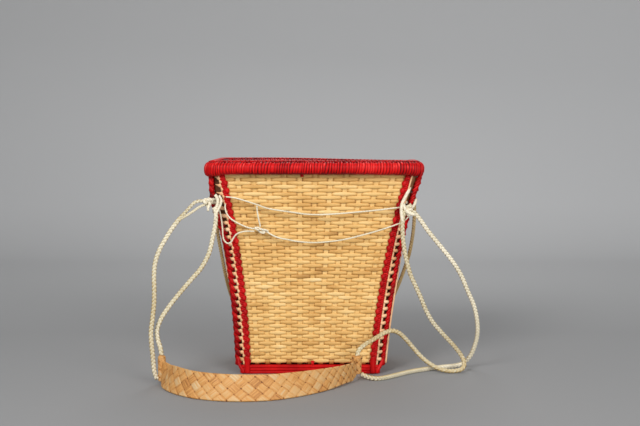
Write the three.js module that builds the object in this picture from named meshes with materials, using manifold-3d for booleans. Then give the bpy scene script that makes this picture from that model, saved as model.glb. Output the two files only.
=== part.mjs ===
// A four-sided cane carrying basket with a red bound rim, lashed corners and a plaited forehead band.
// Millimetres, +Z up, front towards -Y, origin on the floor at the middle of the base.
import * as THREE from 'three';
import { mergeVertices } from 'three/addons/utils/BufferGeometryUtils.js';
import Module from 'manifold-3d';

const wasm = await Module();
wasm.setup();

// Clearance between pieces that touch
const seat = 0.3;

// Base frame
const railHeight = 15;
const railThickness = 12;
const railLedge = 4;
const railSideLedge = 0.5;
const railCornerRadius = 7;
const runnerWidth = 16;
const tieWidth = 7;
const tieHeight = 6.5;
const tieOffset = 4.4;

// Walls: half sizes are at the outer faces
const wallThickness = 6;
const wallHeight = 344;
const baseHalfWidth = 121;
const baseHalfDepth = 82;
const mouthHalfWidth = 170;
const mouthHalfDepth = 105;
const widthBow = 7.5;
const depthBow = 3.4;
const lean = 9;
const wallLevels = 19;
const bottomThickness = 5;

// Weave of the walls: rows of cane pass in front of one upright stake and behind the next
const rowPitch = 6.2;
const lowestRowGap = 3.4;
const stakeThickness = 1.7;
const frontStakes = 11;
const sideStakes = 7;

// Corners
const cornerZone = 10;
const stakeSize = 9;
const faceStripWidth = 11;
const faceStripThickness = 5;
const faceStripInset = 12;
const sideStripWidth = 11;
const sideStripThickness = 8.5;
const sideStripInset = 3;
const stripEdgeRadius = 0.5;
const stakeBevel = 2.7;
const standOffSpread = 45;

// Rim
const rimWallOverlap = 12;
const outerHoopThickness = 13;
const innerHoopThickness = 5;
const bindingThickness = 3.4;
const bindingCrown = 5.7;
const hoopCornerEase = 1;
const leastCornerRadius = 0.2;
const plaitWidth = 12;
const plaitHeight = 3.6;

// Facets
const cornerSegments = 5;
const tubeSides = 8;
const knotFacets = [16, 10];
const stringKnotFacets = [12, 8];

// Carrying cords, strings and the forehead band
const cordDiameter = 7.5;
const stringDiameter = 3.2;
const supportDiameter = 6;
const diametersPerStep = 2.4;
const hitchDrop = 47.3;
const hitchCord = 5.5;
const hitchClearance = 1.2;
const hitchSlack = 0.6;
const knotRadius = 9.5;
const knotBite = 1.7;
const bandWidth = 43;
const bandLeftWidth = 43;
const bandRightWidth = 33;
const bandThickness = 4.5;
const bandLean = 22;
const bandUprightRun = 180;
const bandLeftLift = 4.5;
const bandRightLift = 8;
const hemThickness = 11;
const hemLength = 26;
const bandStations = 25;
const stringKnotSize = [22, 10, 11];

// Colours
const cane = { color: 0xd8b071, roughness: 0.6 };
const paleCane = { color: 0xe0c48c, roughness: 0.62 };
const redCane = { color: 0xb3141c, roughness: 0.38 };
const darkRedCane = { color: 0x9d1219, roughness: 0.42 };
const braid = { color: 0xe6dcc0, roughness: 0.8 };
const plaitedBand = { color: 0xcf9c60, roughness: 0.65 };

const basket = new THREE.Group();

// Adds one named piece with a material of its own
function addPiece(name, geometry, finish) {
  const mesh = new THREE.Mesh(geometry, new THREE.MeshStandardMaterial({ ...finish, metalness: 0 }));
  mesh.name = name;
  basket.add(mesh);
}

// Turns a triangle list inside out when its enclosed volume is negative
function facedOutwards(positions, triangles) {
  const corner = [new THREE.Vector3(), new THREE.Vector3(), new THREE.Vector3()];
  let volume = 0;
  for (const triangle of triangles) {
    triangle.forEach((index, i) => corner[i].copy(positions[index]));
    volume += corner[0].dot(corner[1].cross(corner[2]));
  }
  const ordered = volume < 0 ? triangles.map(([a, b, c]) => [a, c, b]) : triangles;
  const geometry = new THREE.BufferGeometry();
  geometry.setFromPoints(positions);
  geometry.setIndex(ordered.flat());
  geometry.computeVertexNormals();
  return geometry;
}

// Bands of triangles between neighbouring rings of equal point count
function bandTriangles(ringCount, pointCount, closed) {
  const triangles = [];
  const last = closed ? ringCount : ringCount - 1;
  for (let ring = 0; ring < last; ring += 1) {
    const next = (ring + 1) % ringCount;
    for (let i = 0; i < pointCount; i += 1) {
      const j = (i + 1) % pointCount;
      triangles.push([ring * pointCount + i, ring * pointCount + j, next * pointCount + j]);
      triangles.push([ring * pointCount + i, next * pointCount + j, next * pointCount + i]);
    }
  }
  return triangles;
}

// A solid through convex rings, closed by a flat cap at each end
function loft(rings) {
  const count = rings[0].length;
  const triangles = bandTriangles(rings.length, count, false);
  const top = (rings.length - 1) * count;
  for (let i = 1; i < count - 1; i += 1) {
    triangles.push([0, i + 1, i]);
    triangles.push([top, top + i, top + i + 1]);
  }
  return facedOutwards(rings.flat(), triangles);
}

// The plan of a rounded rectangle, grown or shrunk by an offset
function roundedPlan(middleX, middleY, halfX, halfY, radius, offset) {
  const points = [];
  const arc = Math.max(radius + offset, leastCornerRadius);
  for (let quarter = 0; quarter < 4; quarter += 1) {
    const signX = quarter === 0 || quarter === 3 ? 1 : -1;
    const signY = quarter < 2 ? 1 : -1;
    const pivotX = middleX + signX * (halfX + offset - arc);
    const pivotY = middleY + signY * (halfY + offset - arc);
    for (let i = 0; i <= cornerSegments; i += 1) {
      const angle = (quarter + i / cornerSegments) * Math.PI / 2;
      points.push([pivotX + arc * Math.cos(angle), pivotY + arc * Math.sin(angle)]);
    }
  }
  return points;
}

// A closed hoop: each profile point is an offset from the plan and a height
function hoop(profile, plan) {
  const rings = profile.map(([offset, z]) => plan(offset).map(([x, y]) => new THREE.Vector3(x, y, z)));
  return facedOutwards(rings.flat(), bandTriangles(rings.length, rings[0].length, true));
}

// A round tube along a smooth curve through chosen points
function tube(points, diameter) {
  const section = new THREE.Shape();
  for (let i = 0; i < tubeSides; i += 1) {
    const angle = i / tubeSides * Math.PI * 2;
    const place = [Math.cos(angle) * diameter / 2, Math.sin(angle) * diameter / 2];
    if (i === 0) section.moveTo(...place);
    else section.lineTo(...place);
  }
  const curve = new THREE.CatmullRomCurve3(points.map((p) => new THREE.Vector3(...p)));
  const steps = Math.ceil(curve.getLength() / (diametersPerStep * diameter));
  return new THREE.ExtrudeGeometry(section, { steps, extrudePath: curve });
}

// A closed geometry as a solid for joining
function solid(geometry) {
  const bare = geometry.clone();
  bare.deleteAttribute('normal');
  bare.deleteAttribute('uv');
  const merged = mergeVertices(bare, 1e-4);
  return new wasm.Manifold(new wasm.Mesh({
    numProp: 3,
    vertProperties: new Float32Array(merged.attributes.position.array),
    triVerts: new Uint32Array(merged.index.array),
  }));
}

function joined(first, second) {
  const result = solid(first).add(solid(second)).getMesh();
  const geometry = new THREE.BufferGeometry();
  geometry.setAttribute('position', new THREE.BufferAttribute(result.vertProperties, 3));
  geometry.setIndex(new THREE.BufferAttribute(result.triVerts, 1));
  geometry.computeVertexNormals();
  return geometry;
}

// Wall surface: the half sizes follow a shallow bowed flare from base to mouth
const wallBottom = railHeight + seat;
const wallTop = wallBottom + wallHeight;
const rimBottom = wallTop - rimWallOverlap;
const hitchHeight = rimBottom - hitchDrop;
const rise = (z) => THREE.MathUtils.clamp((z - wallBottom) / (rimBottom - wallBottom), 0, 1);
const flared = (base, mouth, bow) => (z) => (
  base + (mouth - base) * rise(z) - 4 * bow * rise(z) * (1 - rise(z))
);
const halfWidth = flared(baseHalfWidth, mouthHalfWidth, widthBow);
const halfDepth = flared(baseHalfDepth, mouthHalfDepth, depthBow);
const centreX = (z) => lean * rise(z);
const heights = (bottom, top) => Array.from(
  { length: wallLevels },
  (_, i) => bottom + (top - bottom) * i / (wallLevels - 1),
);

// A ring of four corners in a level plane
function levelRing(x0, x1, y0, y1, z) {
  return [[x0, y0], [x1, y0], [x1, y1], [x0, y1]].map(([x, y]) => new THREE.Vector3(x, y, z));
}

// A woven wall: its outer face stands out where a row crosses a stake in front, and falls back to the stake
// where the row passes behind, with a fold between such dips; its edges and its inner face are plain
function wovenWall(stakes, place) {
  const rowCount = Math.floor((rimBottom - wallBottom - lowestRowGap) / rowPitch);
  const rowHeight = (row) => wallBottom + lowestRowGap + rowPitch * (row + 0.5);
  const rows = Array.from({ length: rowCount }, (_, row) => rowHeight(row));
  const levels = [wallBottom, ...rows, rimBottom, wallTop];
  const columns = stakes + 2;
  const perLevel = columns + 2;
  const last = columns - 1;
  const dip = (wallThickness - stakeThickness) / 2;
  const positions = levels.flatMap((z, level) => {
    const plain = level === 0 || z >= rimBottom;
    const outer = Array.from({ length: columns }, (_, column) => {
      const edge = column === 0 || column === last;
      const behind = !plain && !edge && (level + column) % 2 === 1;
      return place(2 * column / last - 1, z, behind ? dip : 0);
    });
    return [...outer, place(-1, z, wallThickness), place(1, z, wallThickness)];
  });
  const triangles = [];
  const quad = (a, b, c, d, crossed) => {
    if (crossed) triangles.push([a, b, d], [b, c, d]);
    else triangles.push([a, b, c], [a, c, d]);
  };
  for (let level = 0; level < levels.length - 1; level += 1) {
    const low = level * perLevel;
    const high = low + perLevel;
    for (let column = 0; column < last; column += 1) {
      quad(low + column, low + column + 1, high + column + 1, high + column, (level + column) % 2 === 0);
    }
    quad(low + last, low + columns + 1, high + columns + 1, high + last, false);
    quad(low + columns + 1, low + columns, high + columns, high + columns + 1, false);
    quad(low + columns, low, high, high + columns, false);
  }
  const top = (levels.length - 1) * perLevel;
  for (let column = 0; column < last; column += 1) {
    triangles.push([columns, column + 1, column]);
    triangles.push([top + columns, top + column, top + column + 1]);
  }
  triangles.push([columns, columns + 1, last]);
  triangles.push([top + columns, top + last, top + columns + 1]);
  return facedOutwards(positions, triangles);
}

const frontOrBackWall = (side) => wovenWall(frontStakes, (share, z, depth) => new THREE.Vector3(
  centreX(z) + share * (halfWidth(z) - cornerZone),
  side * (halfDepth(z) - depth),
  z,
));

const sideWall = (side) => wovenWall(sideStakes, (share, z, depth) => new THREE.Vector3(
  centreX(z) + side * (halfWidth(z) - depth),
  share * (halfDepth(z) - cornerZone),
  z,
));

// A natural stake that closes the corner between two walls
function cornerStake(sideX, sideY) {
  const inset = cornerZone - seat - stakeSize;
  return loft(heights(wallBottom, rimBottom - seat).map((z) => {
    const x = centreX(z) + sideX * (halfWidth(z) - inset);
    const y = sideY * (halfDepth(z) - inset);
    const far = stakeSize;
    const outline = [[0, stakeBevel], [stakeBevel, 0], [far, 0], [far, far], [0, far]];
    return outline.map(([u, v]) => new THREE.Vector3(x - sideX * u, y - sideY * v, z));
  }));
}

// A lashed strip on the front or back wall beside the corner
function faceStrip(sideX, sideY) {
  return loft(heights(wallBottom, rimBottom - seat).map((z) => {
    const x = centreX(z) + sideX * (halfWidth(z) - faceStripInset);
    const y = sideY * (halfDepth(z) + seat);
    const half = faceStripWidth / 2;
    return levelRing(x - half, x + half, y, y + sideY * faceStripThickness, z);
  }));
}

// A front side strip bows off its wall round the hitch height, where the hitch's loop passes behind it
const standOff = hitchCord + 2 * hitchClearance + hitchSlack;
const bowOff = (z) => standOff * Math.exp(-(((z - hitchHeight) / standOffSpread) ** 2));
const sideStripY = (z) => halfDepth(z) - sideStripInset - sideStripWidth / 2;
const sideStripX = (z, sideX) => centreX(z) + sideX * (halfWidth(z) + seat + sideStripThickness / 2);
const hitchedStripX = (z, sideX) => sideStripX(z, sideX) + sideX * bowOff(z);

function sideStrip(sideX, sideY) {
  return loft(heights(wallBottom, rimBottom - seat).map((z) => {
    const x = sideY < 0 ? hitchedStripX(z, sideX) : sideStripX(z, sideX);
    const y = sideY * sideStripY(z);
    const halfX = sideStripThickness / 2;
    const halfY = sideStripWidth / 2;
    return levelRing(x - halfX, x + halfX, y - halfY, y + halfY, z);
  }));
}

const sides = [['left', -1], ['right', 1]];
const ends = [['front', -1], ['back', 1]];

for (const [end, sideY] of ends) addPiece(`${end}_wall`, frontOrBackWall(sideY), cane);
for (const [side, sideX] of sides) addPiece(`${side}_wall`, sideWall(sideX), cane);
for (const [end, sideY] of ends) {
  for (const [side, sideX] of sides) {
    addPiece(`${end}_${side}_stake`, cornerStake(sideX, sideY), paleCane);
    addPiece(`${end}_${side}_face_strip`, faceStrip(sideX, sideY), redCane);
    addPiece(`${end}_${side}_side_strip`, sideStrip(sideX, sideY), redCane);
  }
}

// Woven bottom, resting on the rails and the runner, its corners cut back round the stakes
const floorHalfX = baseHalfWidth - wallThickness - seat;
const floorHalfY = baseHalfDepth - wallThickness - seat;
const floorCut = 2 * (cornerZone - wallThickness + seat);
const floorOutline = [
  [floorHalfX, -floorHalfY + floorCut], [floorHalfX, floorHalfY - floorCut],
  [floorHalfX - floorCut, floorHalfY], [-floorHalfX + floorCut, floorHalfY],
  [-floorHalfX, floorHalfY - floorCut], [-floorHalfX, -floorHalfY + floorCut],
  [-floorHalfX + floorCut, -floorHalfY], [floorHalfX - floorCut, -floorHalfY],
];
addPiece('woven_bottom', loft([wallBottom, wallBottom + bottomThickness].map(
  (z) => floorOutline.map(([x, y]) => new THREE.Vector3(x, y, z)),
)), cane);

// Base frame: two long rails with rounded outer corners, two short rails between them and a middle runner
const railHalfWidth = baseHalfWidth + railSideLedge;
const railHalfDepth = baseHalfDepth + railLedge;
const innerHalfDepth = railHalfDepth - railThickness;

function longRail(sideY) {
  const outline = [[-railHalfWidth, innerHalfDepth]];
  for (const sideX of [-1, 1]) {
    const pivotX = sideX * (railHalfWidth - railCornerRadius);
    const pivotY = railHalfDepth - railCornerRadius;
    for (let i = 0; i <= cornerSegments; i += 1) {
      const turn = i / cornerSegments * Math.PI / 2;
      const angle = sideX < 0 ? Math.PI - turn : Math.PI / 2 - turn;
      const x = pivotX + railCornerRadius * Math.cos(angle);
      const y = pivotY + railCornerRadius * Math.sin(angle);
      outline.push([x, y]);
    }
  }
  outline.push([railHalfWidth, innerHalfDepth]);
  return loft([0, railHeight].map((z) => outline.map(([x, y]) => new THREE.Vector3(x, sideY * y, z))));
}

for (const [end, sideY] of ends) addPiece(`${end}_rail`, longRail(sideY), redCane);
for (const [side, sideX] of sides) {
  const outer = sideX * railHalfWidth;
  addPiece(`${side}_rail`, loft([0, railHeight].map((z) => levelRing(
    outer,
    outer - sideX * railThickness,
    -innerHalfDepth + seat,
    innerHalfDepth - seat,
    z,
  ))), redCane);
}
addPiece('base_runner', loft([0, railHeight].map((z) => levelRing(
  -runnerWidth / 2,
  runnerWidth / 2,
  -innerHalfDepth + seat,
  innerHalfDepth - seat,
  z,
))), redCane);

// A small lashing on the rail's ledge at each end of the runner
for (const [end, sideY] of ends) {
  addPiece(`${end}_tie`, loft([wallBottom, wallBottom + tieHeight].map((z) => levelRing(
    tieOffset - tieWidth / 2,
    tieOffset + tieWidth / 2,
    sideY * (halfDepth(wallBottom + tieHeight) + seat),
    sideY * railHalfDepth,
    z,
  ))), darkRedCane);
}

// Rim: hoops outside and inside the wall's top, an open-bottomed binding over both, and a plait on top
const rimCentre = centreX(rimBottom);
const hoopTop = wallTop;
const rimTop = hoopTop + seat + bindingCrown;
const mouthPlan = (offset) => roundedPlan(
  rimCentre,
  0,
  mouthHalfWidth,
  mouthHalfDepth,
  cornerZone + hoopCornerEase - seat,
  offset,
);
const outerFace = seat + outerHoopThickness;
const innerFace = -wallThickness - seat - innerHoopThickness;
addPiece('rim_outer_hoop', hoop([
  [seat, rimBottom],
  [outerFace, rimBottom],
  [outerFace, hoopTop],
  [seat, hoopTop],
], mouthPlan), darkRedCane);
addPiece('rim_inner_hoop', hoop([
  [-wallThickness - seat, rimBottom],
  [innerFace, rimBottom],
  [innerFace, hoopTop],
  [-wallThickness - seat, hoopTop],
], mouthPlan), darkRedCane);

const skinOut = outerFace + seat + bindingThickness;
const skinIn = innerFace - seat - bindingThickness;
const shoulder = bindingThickness;
addPiece('rim_binding', hoop([
  [outerFace + seat, rimBottom],
  [skinOut - shoulder / 2, rimBottom],
  [skinOut, rimBottom + shoulder],
  [skinOut, rimTop - 2 * shoulder],
  [skinOut - shoulder / 2, rimTop - shoulder],
  [skinOut - 1.5 * shoulder, rimTop],
  [skinIn + 1.5 * shoulder, rimTop],
  [skinIn + shoulder / 2, rimTop - shoulder],
  [skinIn, rimTop - 2 * shoulder],
  [skinIn, rimBottom + shoulder],
  [skinIn + shoulder / 2, rimBottom],
  [innerFace - seat, rimBottom],
  [innerFace - seat, hoopTop + seat],
  [outerFace + seat, hoopTop + seat],
], mouthPlan), redCane);

const plaitMiddle = (skinOut + skinIn) / 2;
addPiece('rim_plait', hoop([
  [plaitMiddle - plaitWidth / 2, rimTop + seat],
  [plaitMiddle + plaitWidth / 2, rimTop + seat],
  [plaitMiddle + plaitWidth / 2, rimTop + plaitHeight / 2],
  [plaitMiddle + plaitWidth / 4, rimTop + plaitHeight],
  [plaitMiddle - plaitWidth / 4, rimTop + plaitHeight],
  [plaitMiddle - plaitWidth / 2, rimTop + plaitHeight / 2],
], mouthPlan), darkRedCane);

// Hitches: a loop of cord round each front side strip, with a round knot in front on the swing axis
function hitch(sideX) {
  const x = hitchedStripX(hitchHeight, sideX);
  const y = -sideStripY(hitchHeight);
  const halfX = sideStripThickness / 2;
  const halfY = sideStripWidth / 2;
  const plan = (offset) => roundedPlan(x, y, halfX, halfY, stripEdgeRadius, offset);
  const near = hitchClearance;
  const far = hitchClearance + hitchCord;
  const half = hitchCord / 2;
  const loop = hoop([
    [near, hitchHeight - half / 2],
    [near + half / 2, hitchHeight - half],
    [far - half / 2, hitchHeight - half],
    [far, hitchHeight - half / 2],
    [far, hitchHeight + half / 2],
    [far - half / 2, hitchHeight + half],
    [near + half / 2, hitchHeight + half],
    [near, hitchHeight + half / 2],
  ], plan);
  const knot = new THREE.SphereGeometry(knotRadius, ...knotFacets);
  knot.rotateZ(Math.PI / 2);
  knot.translate(x, y - halfY - far - knotRadius + knotBite, hitchHeight);
  return joined(loop, knot);
}

for (const [side, sideX] of sides) addPiece(`${side}_hitch`, hitch(sideX), braid);

// Carrying cords: chosen points from each hitch knot to the forehead band
const leftOuterRoute = [
  [-175, -111.5, 300.5], [-184, -112, 302.5], [-194, -114, 300], [-205, -117, 289], [-220, -121, 272],
  [-232, -125, 256], [-243, -129, 238], [-253, -133, 219], [-259, -138, 198], [-260, -143, 177],
  [-259, -148, 156], [-259, -153, 133], [-261, -158, 109], [-263, -162, 88], [-262, -165, 69],
  [-260, -166, 49], [-259, -165.5, 34], [-258, -164.5, 23], [-256, -163, 14],
];
const leftInnerRoute = [
  [-161.4, -114.6, 291.1], [-159, -115.5, 285], [-159, -116, 267], [-164, -118, 240], [-170, -121, 215],
  [-183, -126, 190], [-201, -131, 169], [-219, -136, 148], [-237, -141, 125], [-250, -147, 104],
  [-255, -151, 87], [-253, -154, 73], [-249, -157, 62], [-247.4, -158.8, 55], [-246.4, -160, 48.5],
];
const rightOuterRoute = [
  [183.6, -112.5, 290.7], [189, -112, 281], [204, -109, 252], [223, -105, 225], [243, -100, 199],
  [259, -94, 174], [272, -88, 145], [284, -80, 118], [291, -72, 90], [293, -63, 66],
  [290, -53, 43], [283, -44, 22], [272, -38, 9], [258, -39, 4.5], [240, -46, 4.2],
  [211, -61, 4.2], [174, -86, 4.2], [147, -113, 4.2], [128, -131, 4.2], [112, -140, 4.5],
  [99, -138, 6.5], [87.2, -131.3, 10],
];
const rightInnerRoute = [
  [171.4, -112.8, 295.2], [164, -114.5, 290.5], [158.5, -115.5, 281], [156.5, -115.8, 266],
  [157, -115.5, 246], [159.5, -114, 224],
  [164, -112, 202], [171, -109, 177], [181, -106, 155], [190, -103, 135],
  [198, -98, 116], [210, -92, 94], [228, -84, 72], [248, -75, 50], [261, -68, 34],
  [270, -63, 20], [275, -65, 10], [270, -74, 5.2], [257, -80, 4.4], [241, -83, 4.6],
  [225, -80, 7.5], [209, -73, 15], [194, -70, 27], [179, -73, 44], [165, -79, 61],
  [152, -87, 73], [140, -93, 77], [127, -99, 74], [111, -107, 66], [96, -115, 59],
  [86.5, -121.5, 53], [82, -125.6, 47.5], [80.4, -127.6, 42],
];
addPiece('left_cord_outer', tube(leftOuterRoute, cordDiameter), braid);
addPiece('left_cord_inner', tube(leftInnerRoute, cordDiameter), braid);
addPiece('right_cord_outer', tube(rightOuterRoute, cordDiameter), braid);
addPiece('right_cord_inner', tube(rightInnerRoute, cordDiameter), braid);

// Forehead band: a strip standing on its lower edge, bowed to the front, its ends turned back into hems
const bandRoute = new THREE.CatmullRomCurve3([
  [-246, -160], [-240, -194], [-215, -234], [-181, -263], [-140, -279], [-102, -282.5],
  [-58, -275], [-13, -249], [33, -206], [66, -161], [80, -128],
].map(([x, y]) => new THREE.Vector3(x, y, 0)));

function forehead() {
  const length = bandRoute.getLength();
  const rings = [];
  for (let i = 0; i < bandStations; i += 1) {
    const u = i / (bandStations - 1);
    const foot = bandRoute.getPointAt(u);
    const along = bandRoute.getTangentAt(u);
    const inward = new THREE.Vector3(-along.y, along.x, 0);
    const toEnd = Math.min(u, 1 - u) * length;
    const open = THREE.MathUtils.smoothstep(toEnd, 0, hemLength);
    const leaning = open * THREE.MathUtils.smoothstep((1 - u) * length, 0, bandUprightRun);
    const angle = THREE.MathUtils.degToRad(bandLean * leaning);
    const thickness = THREE.MathUtils.lerp(hemThickness, bandThickness, open);
    const spread = THREE.MathUtils.smoothstep(toEnd, 0, u < 0.5 ? hemLength : bandUprightRun);
    const width = THREE.MathUtils.lerp(u < 0.5 ? bandLeftWidth : bandRightWidth, bandWidth, spread);
    const lift = THREE.MathUtils.lerp(u < 0.5 ? bandLeftLift : bandRightLift, 0, open);
    const up = new THREE.Vector3(0, 0, Math.cos(angle)).addScaledVector(inward, Math.sin(angle));
    const across = inward.clone().multiplyScalar(Math.cos(angle));
    across.z = -Math.sin(angle);
    foot.z = lift + thickness / 2 * Math.sin(angle);
    const corner = (height, side) => foot.clone()
      .addScaledVector(up, height)
      .addScaledVector(across, side * thickness / 2);
    rings.push([corner(0, -1), corner(0, 1), corner(width, 1), corner(width, -1)]);
  }
  return loft(rings);
}
addPiece('headband', forehead(), plaitedBand);

// Thin strings across the front, tied to the lashed strips, and the knot that joins them
const stringKnotPlace = [-83, -108, 252];
const upperStringRoute = [
  [-142, -108.6, 309], [-134, -110, 308.5], [-123, -111.5, 306.5], [-106, -112.5, 301.5], [-89, -113, 296],
  [-72, -113, 290], [-50, -112.5, 286], [-28, -112, 283], [-8, -111.5, 280], [13, -111, 279],
  [39, -111, 280], [65, -111, 282], [92, -111, 284.5], [117, -110.5, 287], [138, -109.5, 289.5],
  [154, -107.4, 291],
];
const lowerLeftRoute = [
  [-143.5, -107, 297], [-143.5, -107.4, 290], [-141, -108, 281], [-134, -109, 272], [-125, -109, 266],
  [-115, -109, 261], [-105, -109, 257], [-94.2, -108.4, 254.9],
];
const dropRoute = [
  [-89.4, -113, 293.6], [-89, -112.5, 286], [-88, -112, 279], [-86.6, -111, 271], [-85, -109.6, 264],
  [-84, -108.6, 258.2],
];
const lowerRightRoute = [
  [-72.7, -108, 249.2], [-65, -107.6, 244.5], [-58, -107, 241], [-48, -106.5, 238], [-37, -106, 236],
  [-25, -105.5, 233.5], [-13, -105, 232], [0, -105, 231], [13, -105, 231], [32, -105, 232.5],
  [52, -105, 235], [71, -105.5, 239], [90, -106, 244], [110, -106, 249.5], [129, -106, 255.5],
  [148, -103.7, 262],
];
const loopRoute = [
  [-157, -108.6, 293.4], [-153, -108.4, 285], [-149.8, -107, 268], [-148.5, -105.5, 255], [-148, -104, 243],
  [-146, -103, 234.5], [-140.5, -102.4, 229.5], [-134.5, -102.8, 231.5], [-130.5, -104, 238],
  [-125, -105.2, 245], [-115, -106.4, 249.5], [-105, -107, 250.6], [-94.3, -107.6, 250.4],
];
addPiece('upper_string', tube(upperStringRoute, stringDiameter), braid);
addPiece('lower_string_left', tube(lowerLeftRoute, stringDiameter), braid);
addPiece('drop_string', tube(dropRoute, stringDiameter), braid);
addPiece('lower_string_right', tube(lowerRightRoute, stringDiameter), braid);
addPiece('string_loop', tube(loopRoute, stringDiameter), braid);
const stringKnot = new THREE.SphereGeometry(0.5, ...stringKnotFacets);
stringKnot.scale(...stringKnotSize);
stringKnot.translate(...stringKnotPlace);
addPiece('string_knot', stringKnot, braid);

// Support cord from hitch to hitch, down both sides and across the back
const supportRoute = [
  [-164, -76.4, 299], [-164, -69, 290], [-163, -63, 268], [-161, -56, 240], [-156, -44, 204],
  [-151, -24, 164], [-147, 8, 132], [-143.5, 40, 110], [-141, 62, 98], [-140, 76, 92],
  [-137.5, 88, 90], [-129, 95.5, 88], [-116, 97.5, 86], [-90, 96, 82], [-50, 93, 78],
  [0, 92, 76], [50, 93, 78], [92, 96, 82], [120, 97.5, 86], [133, 95.5, 88],
  [142, 88, 90], [145, 76, 92], [146.5, 62, 98], [149, 40, 110], [154, 8, 130],
  [161, -20, 156], [168, -38, 182], [174, -48, 206], [179, -56, 238], [181, -63, 268],
  [180.5, -69, 290], [179, -77.3, 299],
];
addPiece('support_cord', tube(supportRoute, supportDiameter), braid);

export default basket;
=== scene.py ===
"""A woven cane back basket with a red bound rim, lashed corners and a plaited forehead band."""

import math

import bpy
import numpy as np
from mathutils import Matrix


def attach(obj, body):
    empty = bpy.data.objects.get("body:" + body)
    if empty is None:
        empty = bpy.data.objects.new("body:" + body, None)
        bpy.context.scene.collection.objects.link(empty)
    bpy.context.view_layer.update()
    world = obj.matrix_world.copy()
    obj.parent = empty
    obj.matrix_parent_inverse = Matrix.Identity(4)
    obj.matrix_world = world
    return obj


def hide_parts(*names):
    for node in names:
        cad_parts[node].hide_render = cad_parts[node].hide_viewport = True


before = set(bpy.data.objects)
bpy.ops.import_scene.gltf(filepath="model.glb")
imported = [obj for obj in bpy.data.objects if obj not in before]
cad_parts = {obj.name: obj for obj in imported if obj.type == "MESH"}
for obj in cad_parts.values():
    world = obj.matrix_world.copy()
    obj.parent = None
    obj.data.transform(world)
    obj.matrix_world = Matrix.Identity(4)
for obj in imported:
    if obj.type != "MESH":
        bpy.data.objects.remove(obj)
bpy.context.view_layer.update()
scene = bpy.context.scene
scene.view_settings.view_transform = "Standard"
chance = np.random.default_rng(41)
MM = 0.001
X_AXIS, Y_AXIS, Z_AXIS = np.eye(3)

# Camera, at the photograph's place: metres and degrees, and the focal length in pixels of the photograph
CAMERA_PLACE, CAMERA_TILT = (0.0172, -1.922, 0.4182), 4.307
FOCAL_LENGTH, PHOTO_WIDTH = 1073.3, 640
camera = bpy.data.objects.new("camera", bpy.data.cameras.new("camera"))
camera.location = CAMERA_PLACE
camera.rotation_euler = (math.radians(90 - CAMERA_TILT), 0, 0)
camera.data.sensor_width = 36
camera.data.lens = camera.data.sensor_width * FOCAL_LENGTH / PHOTO_WIDTH
scene.collection.objects.link(camera)
scene.camera = camera

# Sizes that the solids have too, in millimetres
WALL_BOTTOM, WALL_TOP, RIM_BOTTOM, RIM_TOP = 15.3, 359.3, 347.3, 365.3
WALL_THICKNESS, CORNER_ZONE = 6, 10
BASE_HALF_WIDTH, BASE_HALF_DEPTH = 121, 82
MOUTH_HALF_WIDTH, MOUTH_HALF_DEPTH = 170, 105
WIDTH_BOW, DEPTH_BOW, LEAN = 7.5, 3.4, 9
HITCH_HEIGHT, STAND_OFF_SPREAD = 300, 45
CORD, STRING, SUPPORT = 7.5, 3.2, 6

# Distance and height of each front side strip's stand-off, in which the right one differs from its solid
LEFT_STAND_OFF, RIGHT_STAND_OFF = (8.5, HITCH_HEIGHT), (4.5, HITCH_HEIGHT + 50)

# The basket's sides, by their sign along each axis
FACES = (("front", -1), ("back", 1))
SIDES = (("left", -1), ("right", 1))
CORNERS = [(f"{face}_{side}", (x, y)) for face, y in FACES for side, x in SIDES]
SAMPLES_PER_POINT = 24


def rise(z):
    """How far up the wall a height is, from 0 at the base to 1 under the rim."""
    return np.clip((z - WALL_BOTTOM) / (RIM_BOTTOM - WALL_BOTTOM), 0, 1)


def flared(z, base, mouth, bow):
    """Half an outer size at a height: a straight flare from base to mouth less a shallow parabola."""
    r = rise(z)
    return base + (mouth - base) * r - 4 * bow * r * (1 - r)


def half_width(z):
    return flared(z, BASE_HALF_WIDTH, MOUTH_HALF_WIDTH, WIDTH_BOW)


def half_depth(z):
    return flared(z, BASE_HALF_DEPTH, MOUTH_HALF_DEPTH, DEPTH_BOW)


def middle(z):
    """The basket's middle across, which leans to one side in proportion to the rise."""
    return LEAN * rise(z)


def xyz(x, y, z):
    """Three arrays of coordinates as one array of points."""
    return np.stack(np.broadcast_arrays(x, y, z), axis=-1).astype(float)


def at_corner(corner, x, y, z):
    """Points by a corner, at distances out from its two walls' outer faces and at a height."""
    return xyz(middle(z) + corner[0] * (half_width(z) + x), corner[1] * (half_depth(z) + y), z)


def unit(v):
    return v / np.linalg.norm(v, axis=-1, keepdims=True)


def ease(value, low, high):
    """A smooth step from 0 at low to 1 at high: three squares less two cubes."""
    part = np.clip((value - low) / (high - low), 0, 1)
    return part * part * (3 - 2 * part)


def bell(value, peak, spread):
    """A bell curve: 1 at the peak, and the exponential of less the square of the distance in spreads."""
    return np.exp(-(((value - peak) / spread) ** 2))


def squared(value, power):
    """A signed power, which squares off a sine or a cosine where the power is under 1."""
    return np.sign(value) * np.abs(value) ** power


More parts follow.
